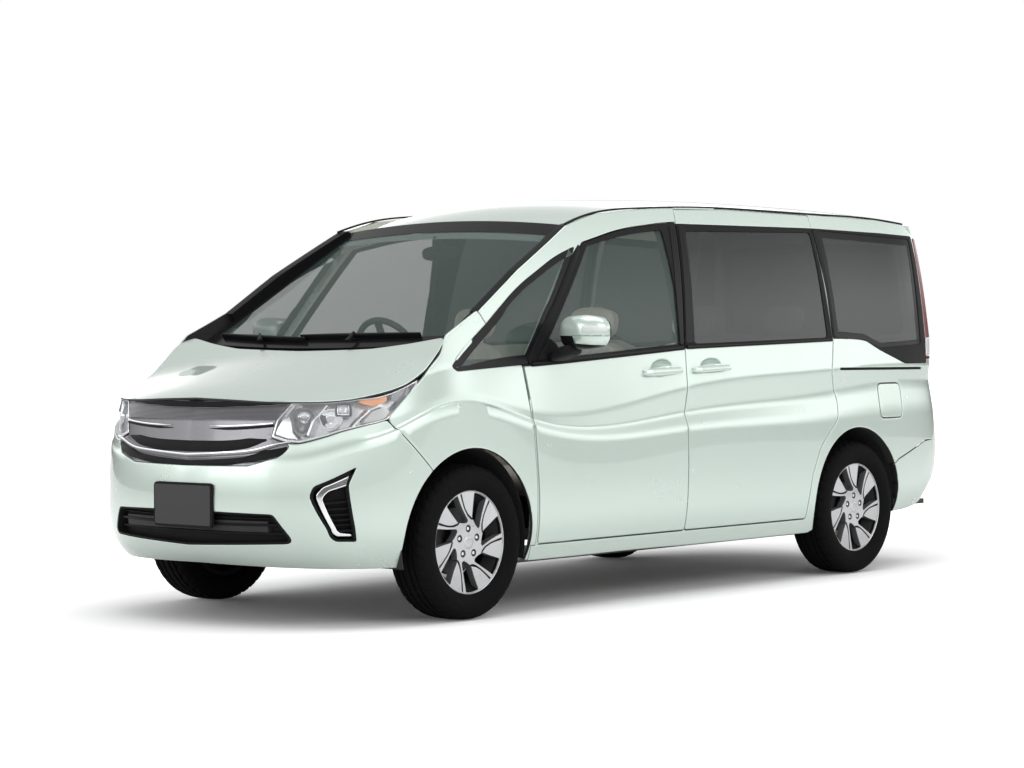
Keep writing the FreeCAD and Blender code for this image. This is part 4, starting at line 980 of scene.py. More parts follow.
underBonnet = np.concatenate([frontFlat * (-1, 1) - (0, 0.01), frontFlat[1:] * (1, 1) - (0, 0.01)])
underBonnet = underBonnet[np.argsort(underBonnet[:, 0])]
belowBonnet = np.concatenate([underBonnet, [(underBonnet[-1, 0], 0.2), (underBonnet[0, 0], 0.2)]])
lampCorners = [(0.444, 0.884), (0.52, 0.866), (0.574, 0.862), (0.7, 0.874), (0.806, 0.892), (0.96, 0.929),
               (1.117, 1.093), (1.117, 1.36), (0.625, 1.36)]
lampMap = rounded(lampCorners, [0.006, 0.05, 0.05, 0.1, 0.1, 0.012, 0.0, 0, 0])
lampRegion = region([lampMap, belowBonnet])
grilleMap = frontMap(wholeLine(grilleLine), 0.03)
intakeMap = frontMap(wholeLine(intakeLine), 0.025)
fogMap = rounded([(0.817, 0.708), (0.634, 0.667), (0.622, 0.625), (0.705, 0.378), (0.728, 0.356),
                  (0.816, 0.353), (0.781, 0.655), (0.8, 0.685)],
                 [0.003, 0.03, 0.03, 0.03, 0.02, 0.006, 0.03, 0.02])


def outward(piece):
    alone(piece)
    bpy.ops.object.mode_set(mode="EDIT")
    bpy.ops.mesh.select_all(action="SELECT")
    bpy.ops.mesh.normals_make_consistent(inside=False)
    bpy.ops.object.mode_set(mode="OBJECT")
    return piece


def flatBar(width, top, bottom, roll=0.002):
    # the section of a trim bar: across, and depth under the skin
    half = width / 2
    return [(-half, bottom), (-half, top + roll), (-half + roll * 0.3, top + roll * 0.3), (-half + roll, top),
            (half - roll, top), (half - roll * 0.3, top + roll * 0.3), (half, top + roll), (half, bottom)]


def ribbon(name, path, section, material, place=onSkin, taper=None, lift=None):
    # a section swept along an open line of the flat map, closed at both ends; the taper is given along it
    path = np.asarray(path, float)
    left = leftOf(unit(np.gradient(path, axis=0)))
    count, sides = len(path), len(section)
    taper = np.ones(count) if taper is None else np.interp(np.linspace(0, 1, count), *taper)
    lift = np.zeros(count) if lift is None else lift
    verts = np.concatenate([place(path + left * (across * taper)[:, None], depth + lift)
                            for across, depth in section])
    faces = []
    for j in range(sides):
        n = (j + 1) % sides
        faces += [(j * count + i, j * count + i + 1, n * count + i + 1, n * count + i)
                  for i in range(count - 1)]
    faces.append([j * count for j in range(sides)])
    faces.append([j * count + count - 1 for j in range(sides)][::-1])
    return outward(newPiece(name, verts, faces, [material]))


def trimBar(name, points, width, top, bottom, material, roll=0.003, taper=None, bodyName="body_shell",
            slotName="grille_black", step=0.015):
    piece = ribbon(name, sampled(points, step), flatBar(width, top, bottom, roll), material, taper=taper)
    return settle(piece, bodyName, slotName)


# Bumpers
def stepped(corners):
    # twelve steps from corner to corner of side view, on the flat map
    corners = np.array(corners)
    return skinMap(np.concatenate([np.linspace(a, b, 12)[:-1] for a, b in zip(corners, corners[1:])]))


bumperSide = stepped([(1.49, 0.18), (1.49, 0.329), (1.742, 0.646), (1.944, 0.844), (2.06, 0.846)])
frontTop = 0.934
bumperWhole = np.concatenate([bumperSide, [(0.78, frontTop), (-0.78, frontTop)], mirrorMap(bumperSide)[::-1]])
bumperWhole[:, 1] = np.maximum(bumperWhole[:, 1], 0.2225)
lampGap = shiftedLoop(lampMap, 0.003)
grilleGap = frontMap(shiftedLoop(wholeLine(grilleLine), 0.001), 0.03)
bumperCuts = [grilleGap, intakeMap, fogMap, mirrorMap(fogMap), lampGap, mirrorMap(lampGap), frontArch,
              mirrorMap(frontArch)]
bumper = panel("frontBumper", region([bumperWhole], bumperCuts), onSkin, (0.0, 0.01), [paint, underseal],
               step=0.02, creases=[0.313, 0.765, 0.829])
settle(darkArch(bumper), "body_shell", "body_paint", "front_bumper")

# Grille: a smoked panel under the bonnet with fine lines, a black strip above and a bright bar below
grille = {"lineStep": 0.0125, "lineDepth": 0.0022}
barEnds = [0, 0.1, 0.9, 1]


def rippled(points, depth=0.0):
    points = np.asarray(points, float)
    wave = np.abs((points[:, 1] / grille["lineStep"]) % 1 - 0.5) * 2
    return onSkin(points, depth + wave * grille["lineDepth"] * (np.asarray(depth) < 0.015))


grilleLoops = region([grilleMap, belowBonnet], [lampGap, mirrorMap(lampGap)])
settle(panel("grillePanel", grilleLoops, rippled, (0.008, 0.022), [smokedChrome, blackPlastic],
             step=0.00625, roll=0.001), "body_shell", "grille_black", "grille")


def bothEnds(points):
    # a line drawn on the left half from the middle outwards, made whole
    return [(-run, height) for run, height in points[:0:-1]] + points


strip = bothEnds([(0, 1.086), (0.28, 1.095), (0.42, 1.104), (0.52, 1.114)])
trimBar("grilleTopStrip", strip, 0.062, 0.005, 0.02, blackSatin,
        taper=([0, 0.066, 0.235, 0.5, 0.765, 0.934, 1], [0.2, 0.5, 0.8, 1, 0.8, 0.5, 0.2]))
for name, side in (("grilleBrightLeft", 1), ("grilleBrightRight", -1)):
    for tag, shift, wide, material in (("", 0.0, 0.0055, chrome), ("Foot", -0.0075, 0.0065, blackSatin)):
        bright = [(side * 0.118, 0.921 + shift), (side * 0.3, 0.922 + shift), (side * 0.452, 0.929 + shift)]
        trimBar(name + tag, bright, wide, 0.0, 0.018, material, 0.0015, ([0, 0.25, 1], [0.15, 1, 1]))
lowerBar = [(0, 0.846), (0.26, 0.846), (0.39, 0.851), (0.469, 0.863), (0.56, 0.87)]
lowerEnds = [0, 0.12, 0.88, 1]
trimBar("grilleLowerBar", bothEnds(lowerBar), 0.0062, -0.004, 0.016, chrome, 0.002,
        (lowerEnds, [0.5, 1, 1, 0.5]))
trimBar("grilleLowerBarFoot", bothEnds([(r, h - 0.0055) for r, h in lowerBar]), 0.0065, 0.0, 0.016,
        smokedChrome, 0.002, (lowerEnds, [0.4, 1, 1, 0.4]))
trimBar("grilleMiddleBar", bothEnds([(0, 0.866), (0.3, 0.867), (0.42, 0.877)]), 0.03, 0.005, 0.018,
        blackSatin, taper=(barEnds, [0.2, 1, 1, 0.2]))
lowBand = bothEnds([(0, 0.797), (0.28, 0.795), (0.42, 0.815), (0.52, 0.845)])
trimBar("grilleFootBand", lowBand, 0.062, 0.004, 0.02, blackSatin, taper=(barEnds, [0.3, 1, 1, 0.3]))

# Lower intake with its bars, and the fog recesses
intakeBack = region([frontMap(shiftedLoop(wholeLine(intakeLine), 0.012), 0.02)])
intakeRing = region([intakeMap], [movedIn(region([intakeMap], step=0.02)[0], 0.012)])
for name, loops, depths, more in (("intakePanel", intakeBack, (0.04, 0.05), {"step": 0.05, "roll": 0.002}),
                                  ("intakeRim", intakeRing, (0.001, 0.045), {"step": 0.03, "roll": 0.004})):
    settle(panel(name, loops, onSkin, depths, [blackPlastic], **more), "body_shell", "grille_black")
for k, (height, reach, thick, top, material) in enumerate([
        (0.395, 0.55, 0.013, 0.026, blackPlastic), (0.45, 0.535, 0.022, 0.016, blackSatin),
        (0.5, 0.5, 0.013, 0.026, blackPlastic)]):
    trimBar(f"intakeBar{k + 1}", [(-reach, height), (0, height), (reach, height)], thick, top, 0.042,
            material, 0.004)
fogInner = movedIn(region([fogMap], step=0.015)[0], 0.012)
smallPanels("fogRim", region([fogMap], [fogInner], 0.01), (0.001, 0.05), [blackSatin], roll=0.005, step=0.02)
smallPanels("fogBack", region([fogMap], step=0.02), (0.048, 0.055), [blackPlastic], "body_shell",
            "grille_black", ["fog_panels"], roll=0.001, step=0.04)
for k in range(6):
    height = 0.405 + 0.036 * k
    runs = fogInner[np.abs(fogInner[:, 1] - height) < 0.012][:, 0]
    if len(runs):
        slat = sampled([(runs.min() - 0.004, height), (runs.max() + 0.004, height)], 0.02)
        twoSided(f"fogSlat{k + 1}", lambda n: ribbon(n, slat, flatBar(0.012, 0.022, 0.05), blackPlastic))
boomerang = rounded([(0.786, 0.687), (0.676, 0.662), (0.645, 0.631), (0.714, 0.397), (0.733, 0.381),
                     (0.795, 0.379), (0.794, 0.391), (0.748, 0.398), (0.734, 0.408), (0.673, 0.615),
                     (0.7, 0.64), (0.779, 0.653), (0.782, 0.668)],
                    [0.004, 0.03, 0.03, 0.02, 0.02, 0.003, 0.003, 0.02, 0.02, 0.03, 0.03, 0.004, 0.01], 0.008)
smallPanels("fogBright", region([boomerang], step=0.008), (0.004, 0.03), [chrome], slotName="mirror_shell",
            step=0.012, roll=0.004)
print("bumper, grille and fog recesses made")

# Headlamps: a clear cover over a dark bowl with a bright rim
smallPanels("headlampCover", lampRegion, (0.0, 0.003), [lampGlass], slotName="clear_lamp",
            nodes=["headlamps"], step=0.03, roll=0.0012)
lampWide = region([shiftedLoop(lampMap, -0.002), belowBonnet - (0, 0.004)])
smallPanels("headlampHousing", lampWide, (0.062, 0.07), [lampSilver], slotName="mirror_shell", step=0.04,
            roll=0.001)
smallPanels("headlampRim", lampWide + [movedIn(l, 0.007)[::-1] for l in lampWide], (0.005, 0.066), [chrome],
            slotName="mirror_shell", step=0.03, roll=0.002)


def bowl(name, middle, outline, rings, material, closed=False):
    # an outline about a place of the flat map, at each ring's share of its size and depth under the skin
    count = len(outline)
    verts = np.concatenate([onSkin(np.array(middle) + outline * k, depth) for k, depth in rings])
    last = (len(rings) - 1) * count
    faces = ringFaces(len(rings), count) + [[last + i for i in range(count)]]
    if closed:
        faces.append(list(range(count))[::-1])
    return newPiece(name, verts, faces, [material])


def dish(name, middle, radius, top, deep, material, squash=1.0, square=0.0, count=40):
    # a round or squared reflector sunk under the skin, with a rim
    turn = np.linspace(0, 2 * np.pi, count, endpoint=False)
    shape = 1 / np.maximum(np.abs(np.cos(turn)), np.abs(np.sin(turn))) if square else np.ones(count)
    shape = 1 + (shape - 1) * square
    ring = np.column_stack([np.cos(turn) * shape, np.sin(turn) * shape * squash])
    rings = [(1.08, top + 0.012), (1.08, top + 0.001), (1.05, top), (0.98, top + 0.001),
             (0.93, top + deep * 0.25), (0.8, top + deep * 0.6), (0.55, top + deep * 0.88),
             (0.25, top + deep), (0.02, top + deep)]
    return bowl(name, middle, ring * radius, rings, material)


def bulge(name, middle, radius, rise, at, material, count=32):
    # a domed lens whose foot lies at a depth under the skin
    rings = [(1.0, at + 0.004), (1.0, at), (0.92, at - rise * 0.45), (0.75, at - rise * 0.75),
             (0.45, at - rise * 0.95), (0.03, at - rise)]
    return bowl(name, middle, circle(0, 0, 1, count) * radius, rings, material, closed=True)


innerLamp, outerLamp = (0.582, 0.972), (0.768, 1.022)
for name, make, middle, sizes, material, more, slotName in (
        ("lampBowl", dish, innerLamp, (0.056, 0.016, 0.04), smokedChrome, {"squash": 1.45}, "mirror_shell"),
        ("lampBowlRing", dish, innerLamp, (0.03, 0.046, 0.01), chrome, {"squash": 1.45}, "mirror_shell"),
        ("lampBowlLens", bulge, innerLamp, (0.018, 0.016, 0.054), lampGlass, {}, "clear_lamp"),
        ("lampBowlOuter", dish, (0.712, 0.965), (0.052, 0.02, 0.036), chrome, {"squash": 1.3},
         "mirror_shell"),
        ("lampProjector", dish, outerLamp, (0.036, 0.008, 0.04), lampDark, {"squash": 1.5, "square": 0.75},
         "black_plastic"),
        ("lampProjectorRim", dish, outerLamp, (0.026, 0.01, 0.03), chrome, {"squash": 1.5, "square": 0.75},
         "mirror_shell"),
        ("lampProjectorLens", bulge, outerLamp, (0.02, 0.016, 0.034), lampGlass, {}, "clear_lamp")):
    twoSided(name, lambda n: make(n, middle, *sizes, material, **more), slotName=slotName)
for name, points, width, top, material in (
        ("lampStrutInner", [(0.694, 1.072), (0.655, 0.985), (0.61, 0.886)], 0.012, 0.01, chrome),
        ("lampStrutOuter", [(0.888, 1.02), (0.845, 0.955), (0.8, 0.893)], 0.01, 0.012, chrome),
        ("lampStrutTop", [(0.56, 1.085), (0.7, 1.09), (0.845, 1.098)], 0.012, 0.014, lampDark)):
    twoSided(name, lambda n: ribbon(n, sampled(points, 0.01), flatBar(width, top, 0.062, 0.003), material),
             slotName="mirror_shell")
inLamp = movedIn(max(lampWide, key=len), 0.01)
lampInsets = {
    "lampIndicator": ([(0.846, 1.082), (0.842, 1.15), (0.975, 1.15), (0.972, 1.068), (0.906, 1.052)],
                      amberLens, 0.012),
    "lampLower": ([(0.85, 0.918), (0.9, 1.01), (0.962, 1.03), (0.985, 0.985), (0.955, 0.935)], clearLens,
                  0.016),
    "lampSide": ([(0.99, 1.06), (0.998, 1.12), (1.06, 1.14), (1.062, 1.08), (1.018, 1.038)], smokedChrome,
                 0.014),
    "lampCorner": ([(0.45, 0.89), (0.52, 0.975), (0.54, 0.9), (0.575, 0.868)], chrome, 0.012),
}
for name, (points, material, top) in lampInsets.items():
    smallPanels(name, region([rounded(points, 0.01), inLamp]), (top, 0.06), [material, lampDark],
                slotName="clear_lamp", roll=0.003, step=0.02)
print("headlamps made")

# Number plates: a bare dark plate on a black base, in front and behind
plate = {"size": (0.33, 0.165), "base": (0.35, 0.185), "front": 0.497, "rear": 0.905}


def plateFrame(name, size, thick, x, z, material, radius, facing, bodyName):
    width, height = size
    loop = rounded([(-width / 2, -height / 2), (width / 2, -height / 2), (width / 2, height / 2),
                    (-width / 2, height / 2)], radius, 0.01)

    def stand(points, depth=0.0):
        points = np.asarray(points, float)
        xs = np.broadcast_to(x - facing * np.asarray(depth, float), len(points))
        return np.column_stack([xs, facing * points[:, 0], z + points[:, 1]])
    piece = panel(name, region([loop]), stand, (0.0, thick), [material], roll=0.002, step=0.05)
    settle(piece, bodyName, "black_plastic")


def plates(names, thick, x, z, facing, bodyName):
    plateFrame(names[0], plate["base"], thick, x + facing * 0.006, z, blackPlastic, 0.02, facing, bodyName)
    plateFrame(names[1], plate["size"], 0.003, x + facing * 0.009, z, plateGrey, 0.008, facing, bodyName)


noseX = float(onSkin([(0.0, 0.55)])[0, 0])
plates(("plateBase", "plateFront"), 0.012, noseX, plate["front"], 1, "body_shell")
print("plate made")

# Tail: tailgate wall and top, rear bumper, lamps
tailMap = endMap(rounded(wholeLine(tailgateLine), [0, 0.06, 0, 0, 0, 0, 0, 0, 0, 0.06]), "rear")
tailPane = endMap(rounded(wholeLine(tailWindow), [0, 0.05, 0.05, 0, 0.05, 0.05]), "rear")
tailPaneIn = movedIn(region([tailPane], step=0.02)[0], 0.045)
settle(panel("tailgateWall", region([tailMap, belowRoof], [tailPane]), onSkin, wall, painted,
             creases=skinCreases), "tailgate_body", "body_paint", "tailgate")
gateTop = onSkin(roofFoot[roofFoot[:, 0] > 5.2], 0.0)[:, :2]
gateTop = gateTop[gateTop[:, 1] < 0.584]
gateTop = np.concatenate([gateTop, (gateTop * (1, -1))[::-1][1:], [(-2.0755, -0.584), (-2.0755, 0.584)]])
settle(panel("tailgateTop", region([gateTop]), onRoof, (0.0, 0.02), painted, step=0.03, roll=0.005),
       "tailgate_body", "body_paint")
settle(panel("tailgatePane", region([tailPaneIn]), onSkin, (0.004, 0.008), [darkGlass], roll=0.0006,
             step=0.06), "tailgate_body", "dark_glass", "tailgate_glass")
settle(panel("tailgatePaneBorder", region([tailPane], [tailPaneIn]), onSkin, (0.004, 0.008), [blackGloss],
             roll=0.001, step=0.04), "tailgate_body", "black_plastic")
rearSide = stepped([(-1.4, 0.18), (-1.4, 0.338), (-1.77, 0.549), (-2.03, 0.633)])
rearStep = endMap([(0.665, 0.633), (0.665, 0.59)], "rear")
rearHalf = np.concatenate([rearSide, skinMap([(-2.03, 0.633)]), rearStep])
rearWhole = np.concatenate([rearHalf, mirrorMap(rearHalf, planLength)[::-1]])
rearWhole[:, 1] = np.maximum(rearWhole[:, 1], 0.2225)
rearLoops = region([dense(rearWhole, 0.02)], [rearArch, mirrorMap(rearArch, planLength)])
rearBumper = panel("rearBumper", rearLoops, onSkin, (0.0, 0.01), [paint, underseal], creases=[0.313])
settle(darkArch(rearBumper), "body_shell", "body_paint", "rear_bumper")

lampLow, lampHigh = 0.995, 1.13      # the clear part of the tail lamp
for name, low, high, material, slotName, nodes in (
        ("tailLampFoot", 0.9, lampLow, redLens, "red_lamp", []),
        ("tailLampClear", lampLow, lampHigh, clearLens, "clear_lamp", []),
        ("tailLampTall", lampHigh, 1.8, redLens, "red_lamp", ["tail_lamps"])):
    band = dense([(4.6, low + 0.001), (planLength, low + 0.001), (planLength, high - 0.001),
                  (4.6, high - 0.001)], 0.03)
    smallPanels(name, region([lampTail, band]), (-0.003, 0.006), [material], "body_shell", slotName, nodes,
                step=0.02, roll=0.004)
smallPanels("tailLampBack", region([lampTail]), (0.03, 0.04), [lampRed], slotName="red_lamp", step=0.04,
            roll=0.002)
for k in range(7):
    height = 1.26 + 0.055 * k
    rib = sampled([(lampTail[:, 0].min() + 0.012, height), (lampTail[:, 0].max() - 0.02 - 0.006 * k, height)])
    twoSided(f"tailLampRib{k + 1}", lambda n: ribbon(n, rib, flatBar(0.01, 0.014, 0.028), chrome),
             slotName="red_lamp")

# Garnish, plate and wiper of the tailgate, and reflectors in the bumper
tailBody = "tailgate_body"
trimBar("tailGarnish", [(planLength - 0.42, 1.075), (planLength, 1.085), (planLength + 0.42, 1.075)], 0.03,
        -0.01, 0.004, chrome, 0.004, (barEnds, [0.4, 1, 1, 0.4]), tailBody, "mirror_shell", 0.02)
tailX = float(onSkin([(planLength, 0.9)])[0, 0])
plates(("rearPlateBase", "rearPlate"), 0.014, tailX, plate["rear"], -1, tailBody)
for name, points, width, top, bottom, material in (
        ("rearWiperArm", [(-0.02, 1.16), (0.16, 1.2), (0.3, 1.215)], 0.016, -0.014, -0.002, blackSatin),
        ("rearWiperBlade", [(0.02, 1.222), (0.2, 1.222), (0.38, 1.21)], 0.01, -0.008, 0.003, rubber)):
    points = [(planLength + run, height) for run, height in points]
    trimBar(name, points, width, top, bottom, material, 0.004, None, tailBody, "black_plastic", 0.02)
settle(bulge("rearWiperHub", (planLength - 0.02, 1.16), 0.024, 0.014, 0.0, blackSatin), tailBody,
       "black_plastic")
reflector = sampled([(planLength - 0.62, 0.47), (planLength - 0.5, 0.47)])
twoSided("rearReflector", lambda n: ribbon(n, reflector, flatBar(0.03, -0.002, 0.006, 0.003), redLens),
         slotName="red_lamp")
print("tail made")

# Wheels: seven units of a broad blade, a narrow ridge, a slit and a pocket
wheel = {"radius": 0.2165, "spokes": 7, "lugs": 5, "lugCircle": 0.0572, "lugRoom": 0.0155, "deep": 0.034}
pocketShape = [(0.2095, 9.5), (0.2095, 21), (0.2095, 31.5), (0.175, 33.8), (0.142, 37.8), (0.112, 44.5),
               (0.092, 52.0), (0.082, 47), (0.084, 34), (0.094, 22), (0.1085, 14.5), (0.15, 12.0)]
slitShape = [(0.2095, -15.2), (0.2095, -12.6), (0.175, -10.6), (0.142, -6.6), (0.118, 1.0), (0.1055, 12.0),
             (0.102, 20.0), (0.0955, 17), (0.0985, 8), (0.112, -1.5), (0.142, -9.3), (0.175, -13.0)]


def polar(points, turn):
    # radius and clock angle, as x towards the tail and z up, seen from outside the car's left
    return np.array([(r * math.sin(math.radians(a + turn)), r * math.cos(math.radians(a + turn)))
                     for r, a in points])


def wheelFace(points, depth=0.0):
    # the dished face of the left wheels about the axle: x, y outwards, z
    points = np.asarray(points, float)
    r = np.hypot(*points.T)
    face = np.interp(r, [0, 0.028, 0.07, 0.085, 0.11, 0.15, 0.19, 0.2165],
                     [0.0735, 0.073, 0.0725, 0.0715, 0.07, 0.0715, 0.075, 0.0775])
    return np.column_stack([-points[:, 0], face - depth, points[:, 1]])


def turnedRing(name, profile, materials, count=144, finish=None):
    # a closed profile of radius and width, turned about the axle
    angles = np.linspace(0, 2 * np.pi, count, endpoint=False)
    verts = np.concatenate([np.column_stack([r * np.cos(angles), np.full(count, y), r * np.sin(angles)])
                            for r, y in profile])
    given = None if finish is None else np.repeat(finish, count)
    return outward(newPiece(name, verts, ringFaces(len(profile), count, True), materials, given))


def toWheel(piece, corner):
    # from the axle's own place to one corner of the car
    x = body["frontAxle"] if "front" in corner else body["rearAxle"]
    side = 1 if "left" in corner else -1
    if side < 0:
        piece.data.transform(Matrix.Rotation(math.pi, 4, "Z"))
    piece.data.transform(Matrix.Translation((x, side * body["wheelY"], body["axleHeight"])))
    return piece


def wheelParts():
    unitTurn = 360 / wheel["spokes"]
    cuts = []
    for k in range(wheel["spokes"]):
        cuts += [rounded(polar(pocketShape, unitTurn * k), 0.006, 0.004),
                 rounded(polar(slitShape, unitTurn * k), 0.004, 0.004)]
    lugSpots = [polar([(wheel["lugCircle"], 0)], 72 * k)[0] for k in range(wheel["lugs"])]
    cuts += [circle(x, z, wheel["lugRoom"], 28) for x, z in lugSpots]
    disc = circle(0, 0, wheel["radius"] - 0.003, 200)
    face = panel("wheelFace", region([disc], cuts, 0.0045), wheelFace, (0.0, wheel["deep"]),
                 [machinedAlloy, darkAlloy], roll=0.0014, step=0.01, backStep=0.03, wallFinish=1)
    rim = turnedRing("wheelRim", [
        (0.212, 0.07), (0.213, 0.075), (0.2142, 0.0785), (0.2155, 0.08), (0.2172, 0.0805), (0.2188, 0.0795),
        (0.219, 0.073), (0.213, 0.068), (0.202, 0.046), (0.176, 0.02), (0.176, -0.04), (0.202, -0.05),
        (0.2045, -0.068), (0.219, -0.072), (0.219, -0.08), (0.197, -0.075), (0.169, -0.044), (0.169, 0.018),
        (0.19, 0.042), (0.204, 0.06)], [machinedAlloy, wheelDark], finish=[0] * 6 + [1] * 14)
    cap = turnedRing("wheelCap", [(0.0005, 0.0765), (0.012, 0.0763), (0.022, 0.0757), (0.0265, 0.0745),
                                  (0.028, 0.0728), (0.028, 0.058), (0.0005, 0.058)], [machinedAlloy], 48)
    hub = turnedRing("wheelHub", [(0.029, 0.042), (0.076, 0.042), (0.078, 0.04), (0.078, 0.006),
                                  (0.029, 0.006)], [wheelDark], 72)
    parts = [("wheelFace", face), ("wheelRim", rim), ("wheelCap", cap), ("wheelHub", hub)]
    nuts = []
    for x, z in lugSpots:
        bpy.ops.object.select_all(action="DESELECT")
        bpy.ops.mesh.primitive_cylinder_add(vertices=6, radius=0.0085, depth=0.026, location=(0, 0, 0),
                                            rotation=(math.pi / 2, 0, 0))
        nut = bpy.context.object
        bpy.ops.object.transform_apply(location=False, rotation=True, scale=False)
        nut.data.transform(Matrix.Translation((-x, 0.058, z)))
        bevel = nut.modifiers.new("edge", "BEVEL")
        bevel.width, bevel.segments = 0.0022, 3
        bpy.ops.object.modifier_apply(modifier=bevel.name)
        nut.data.materials.append(chrome)
        nuts.append(nut)
    alone(nuts[0])
    for nut in nuts:
        nut.select_set(True)
    bpy.ops.object.join()
    nuts[0].name = nuts[0].data.name = "wheelLugs"
    return parts + [("wheelLugs", smoothed(nuts[0], 30))]


def tyreMesh(count=200, block=5):
    # the section from bead to bead, with grooves round the tread and sipes across the shoulders
    section = [(0.2055, 0.071), (0.21, 0.0722), (0.22, 0.085), (0.226, 0.0905), (0.229, 0.0925),
               (0.231, 0.0925), (0.234, 0.0945), (0.244, 0.0985), (0.256, 0.1012), (0.268, 0.1025),
               (0.278, 0.1024), (0.2795, 0.1016), (0.2812, 0.1022), (0.29, 0.1008), (0.299, 0.0975),
               (0.306, 0.093), (0.312, 0.088)]
    tread = [(0.3165, 0.083), (0.3195, 0.078), (0.3215, 0.072), (0.323, 0.064), (0.3238, 0.056),
             (0.3242, 0.0535), (0.3165, 0.0525), (0.3165, 0.0455), (0.3246, 0.0445), (0.3254, 0.03),
             (0.3256, 0.0235), (0.318, 0.0225), (0.318, 0.0145), (0.3258, 0.0135), (0.326, 0.0)]
    outer = section + tread
    inner = [(0.2055, -0.056), (0.23, -0.07), (0.268, -0.088), (0.305, -0.07), (0.308, 0.0)]
    loop = outer + [(r, -y) for r, y in outer[::-1][1:]] + inner + [(r, -y) for r, y in inner[3::-1]]
    angles = np.linspace(0, 2 * np.pi, count, endpoint=False)
    rows = []
    for r, y in loop:
        low = np.zeros(count)
        if r > 0.3115 and 0.0555 < abs(y) < 0.0885:
            low = np.where((np.arange(count) + int(abs(y) * 66)) % block < 1, 0.006, 0)
        elif r > 0.322 and 0.014 < abs(y) < 0.044:
            low = np.where((np.arange(count) + int(y * 125)) % block < 1, 0.0045, 0)
        rows.append(np.column_stack([(r - low) * np.cos(angles), np.full(count, y),
                                     (r - low) * np.sin(angles)]))
    return outward(newPiece("tyre", np.concatenate(rows), ringFaces(len(loop), count, True), [rubber],
                            smooth=32))


masters = wheelParts() + [("tyre", tyreMesh())]
for corner in ("front_left", "front_right", "rear_left", "rear_right"):
    tag = corner.title().replace("_", "")
    for name, master in masters:
        piece = toWheel(clone(master, name + tag), corner)
        node = {"wheelFace": ["wheel_" + corner], "tyre": ["tyre_" + corner]}.get(name, [])
        settle(piece, f"wheel_{corner}_body", "tyre_rubber" if name == "tyre" else "alloy_wheel", *node)
for name, master in masters:
    bpy.data.objects.remove(master)
print("wheels made")


# Door mirrors: a painted cap over a black housing, with its glass, lamp and foot
mirror = {
    "middle": (0.884, 0.952, 1.2),
    "half": (0.068, 0.116, 0.077),
    "power": 3.0,
    "split": 1.184,      # the cap's lower edge inboard; outboard it reaches lower
    "lowSplit": 1.152,
}


def roundedBox(name, middle, half, power, materials, segments=48, rings=32, shape=None):
    # a ball squared off to a soft box, then shaped by a function of its points
    bpy.ops.object.select_all(action="DESELECT")
    bpy.ops.mesh.primitive_uv_sphere_add(segments=segments, ring_count=rings, radius=1, location=(0, 0, 0))
    piece = bpy.context.object
    piece.name = piece.data.name = name
    spots = np.array([tuple(v.co) for v in piece.data.vertices])
    spots /= ((np.abs(spots) ** power).sum(1) ** (1 / power))[:, None]
    spots *= half
    if shape:
        spots = shape(spots)
    spots += middle
    piece.data.vertices.foreach_set("co", spots.ravel())
    for material in materials:
        piece.data.materials.append(material)
    piece.data.update()
    return smoothed(piece, 50)


def cutOff(piece, *planes):
    # keeps what lies behind each plane, and closes the cuts
    alone(piece)
    for point, normal in planes:
        bpy.ops.object.mode_set(mode="EDIT")
        bpy.ops.mesh.select_all(action="SELECT")
        bpy.ops.mesh.bisect(plane_co=point, plane_no=normal, use_fill=True, clear_outer=True)
        bpy.ops.object.mode_set(mode="OBJECT")
    return piece


def mirrorShape(spots):
    # the housing tapers to its outer end, and its back is flat
    outer = np.clip(spots[:, 1] / mirror["half"][1], 0, 1)
    spots[:, 2] *= 1 - 0.1 * outer ** 2
    spots[:, 0] -= 0.03 * outer ** 2 * (spots[:, 0] > -0.02)
    spots[:, 0] = np.maximum(spots[:, 0], -0.042)
    return spots


def mirrorPart(name, material, scale=1.0, cuts=()):
    piece = roundedBox(name, mirror["middle"], np.array(mirror["half"]) * scale, mirror["power"],
                       [material], 64, 40, mirrorShape)
    return cutOff(piece, *cuts)


def footShape(spots):
    spots[:, 2] += 0.3 * spots[:, 1]
    return spots


silvered = roughened(finishOf("silvered", (0.75, 0.77, 0.78), 0.02, 1.0), 4, 0.015, 0.03)
x, y, z = mirror["middle"]
split, lowSplit = mirror["split"], mirror["lowSplit"]
back = ((x - 0.03, y, z), (-1, 0, 0))
upperCuts = (((x, y, split), (0.0, -0.02, -1)), back)
lowerCuts = (((x, y, split + 0.004), (0, 0, 1)), ((x, y, lowSplit), (0, -0.08, -1)),
             ((x, y - 0.005, lowSplit), (0, -1, -0.3)), back)
lampCuts = (((x, y + 0.036, z), (0, -1, 0)), ((x, y, z + 0.026), (0, 0, 1)), ((x, y, z + 0.004), (0, 0, -1)),
            ((x - 0.01, y, z), (-1, 0, 0)))
twoSided("mirrorHousing", lambda n: mirrorPart(n, blackGloss, 0.975), doorBody, "black_plastic",
         ["door_mirror_SIDE"])
twoSided("mirrorCap", lambda n: mirrorPart(n, paint, 1.0, upperCuts), doorBody, "body_paint")
twoSided("mirrorCapLow", lambda n: mirrorPart(n, paint, 1.0, lowerCuts), doorBody, "body_paint")
twoSided("mirrorLamp", lambda n: mirrorPart(n, clearLens, 1.014, lampCuts), doorBody, "clear_lamp")
twoSided("mirrorGlass", lambda n: roundedBox(n, (x - 0.0415, y, z), (0.003, 0.083, 0.063), 4.0, [silvered],
                                             48, 24), doorBody, "mirror_shell")
twoSided("mirrorFoot", lambda n: roundedBox(n, (0.905, 0.862, 1.112), (0.062, 0.062, 0.026), 3.4,
                                            [blackPlastic], 40, 24, footShape), doorBody, "black_plastic")
sailLine = [(1.024, 1.074), (0.838, 1.088), (0.884, 1.15), (0.926, 1.176)]
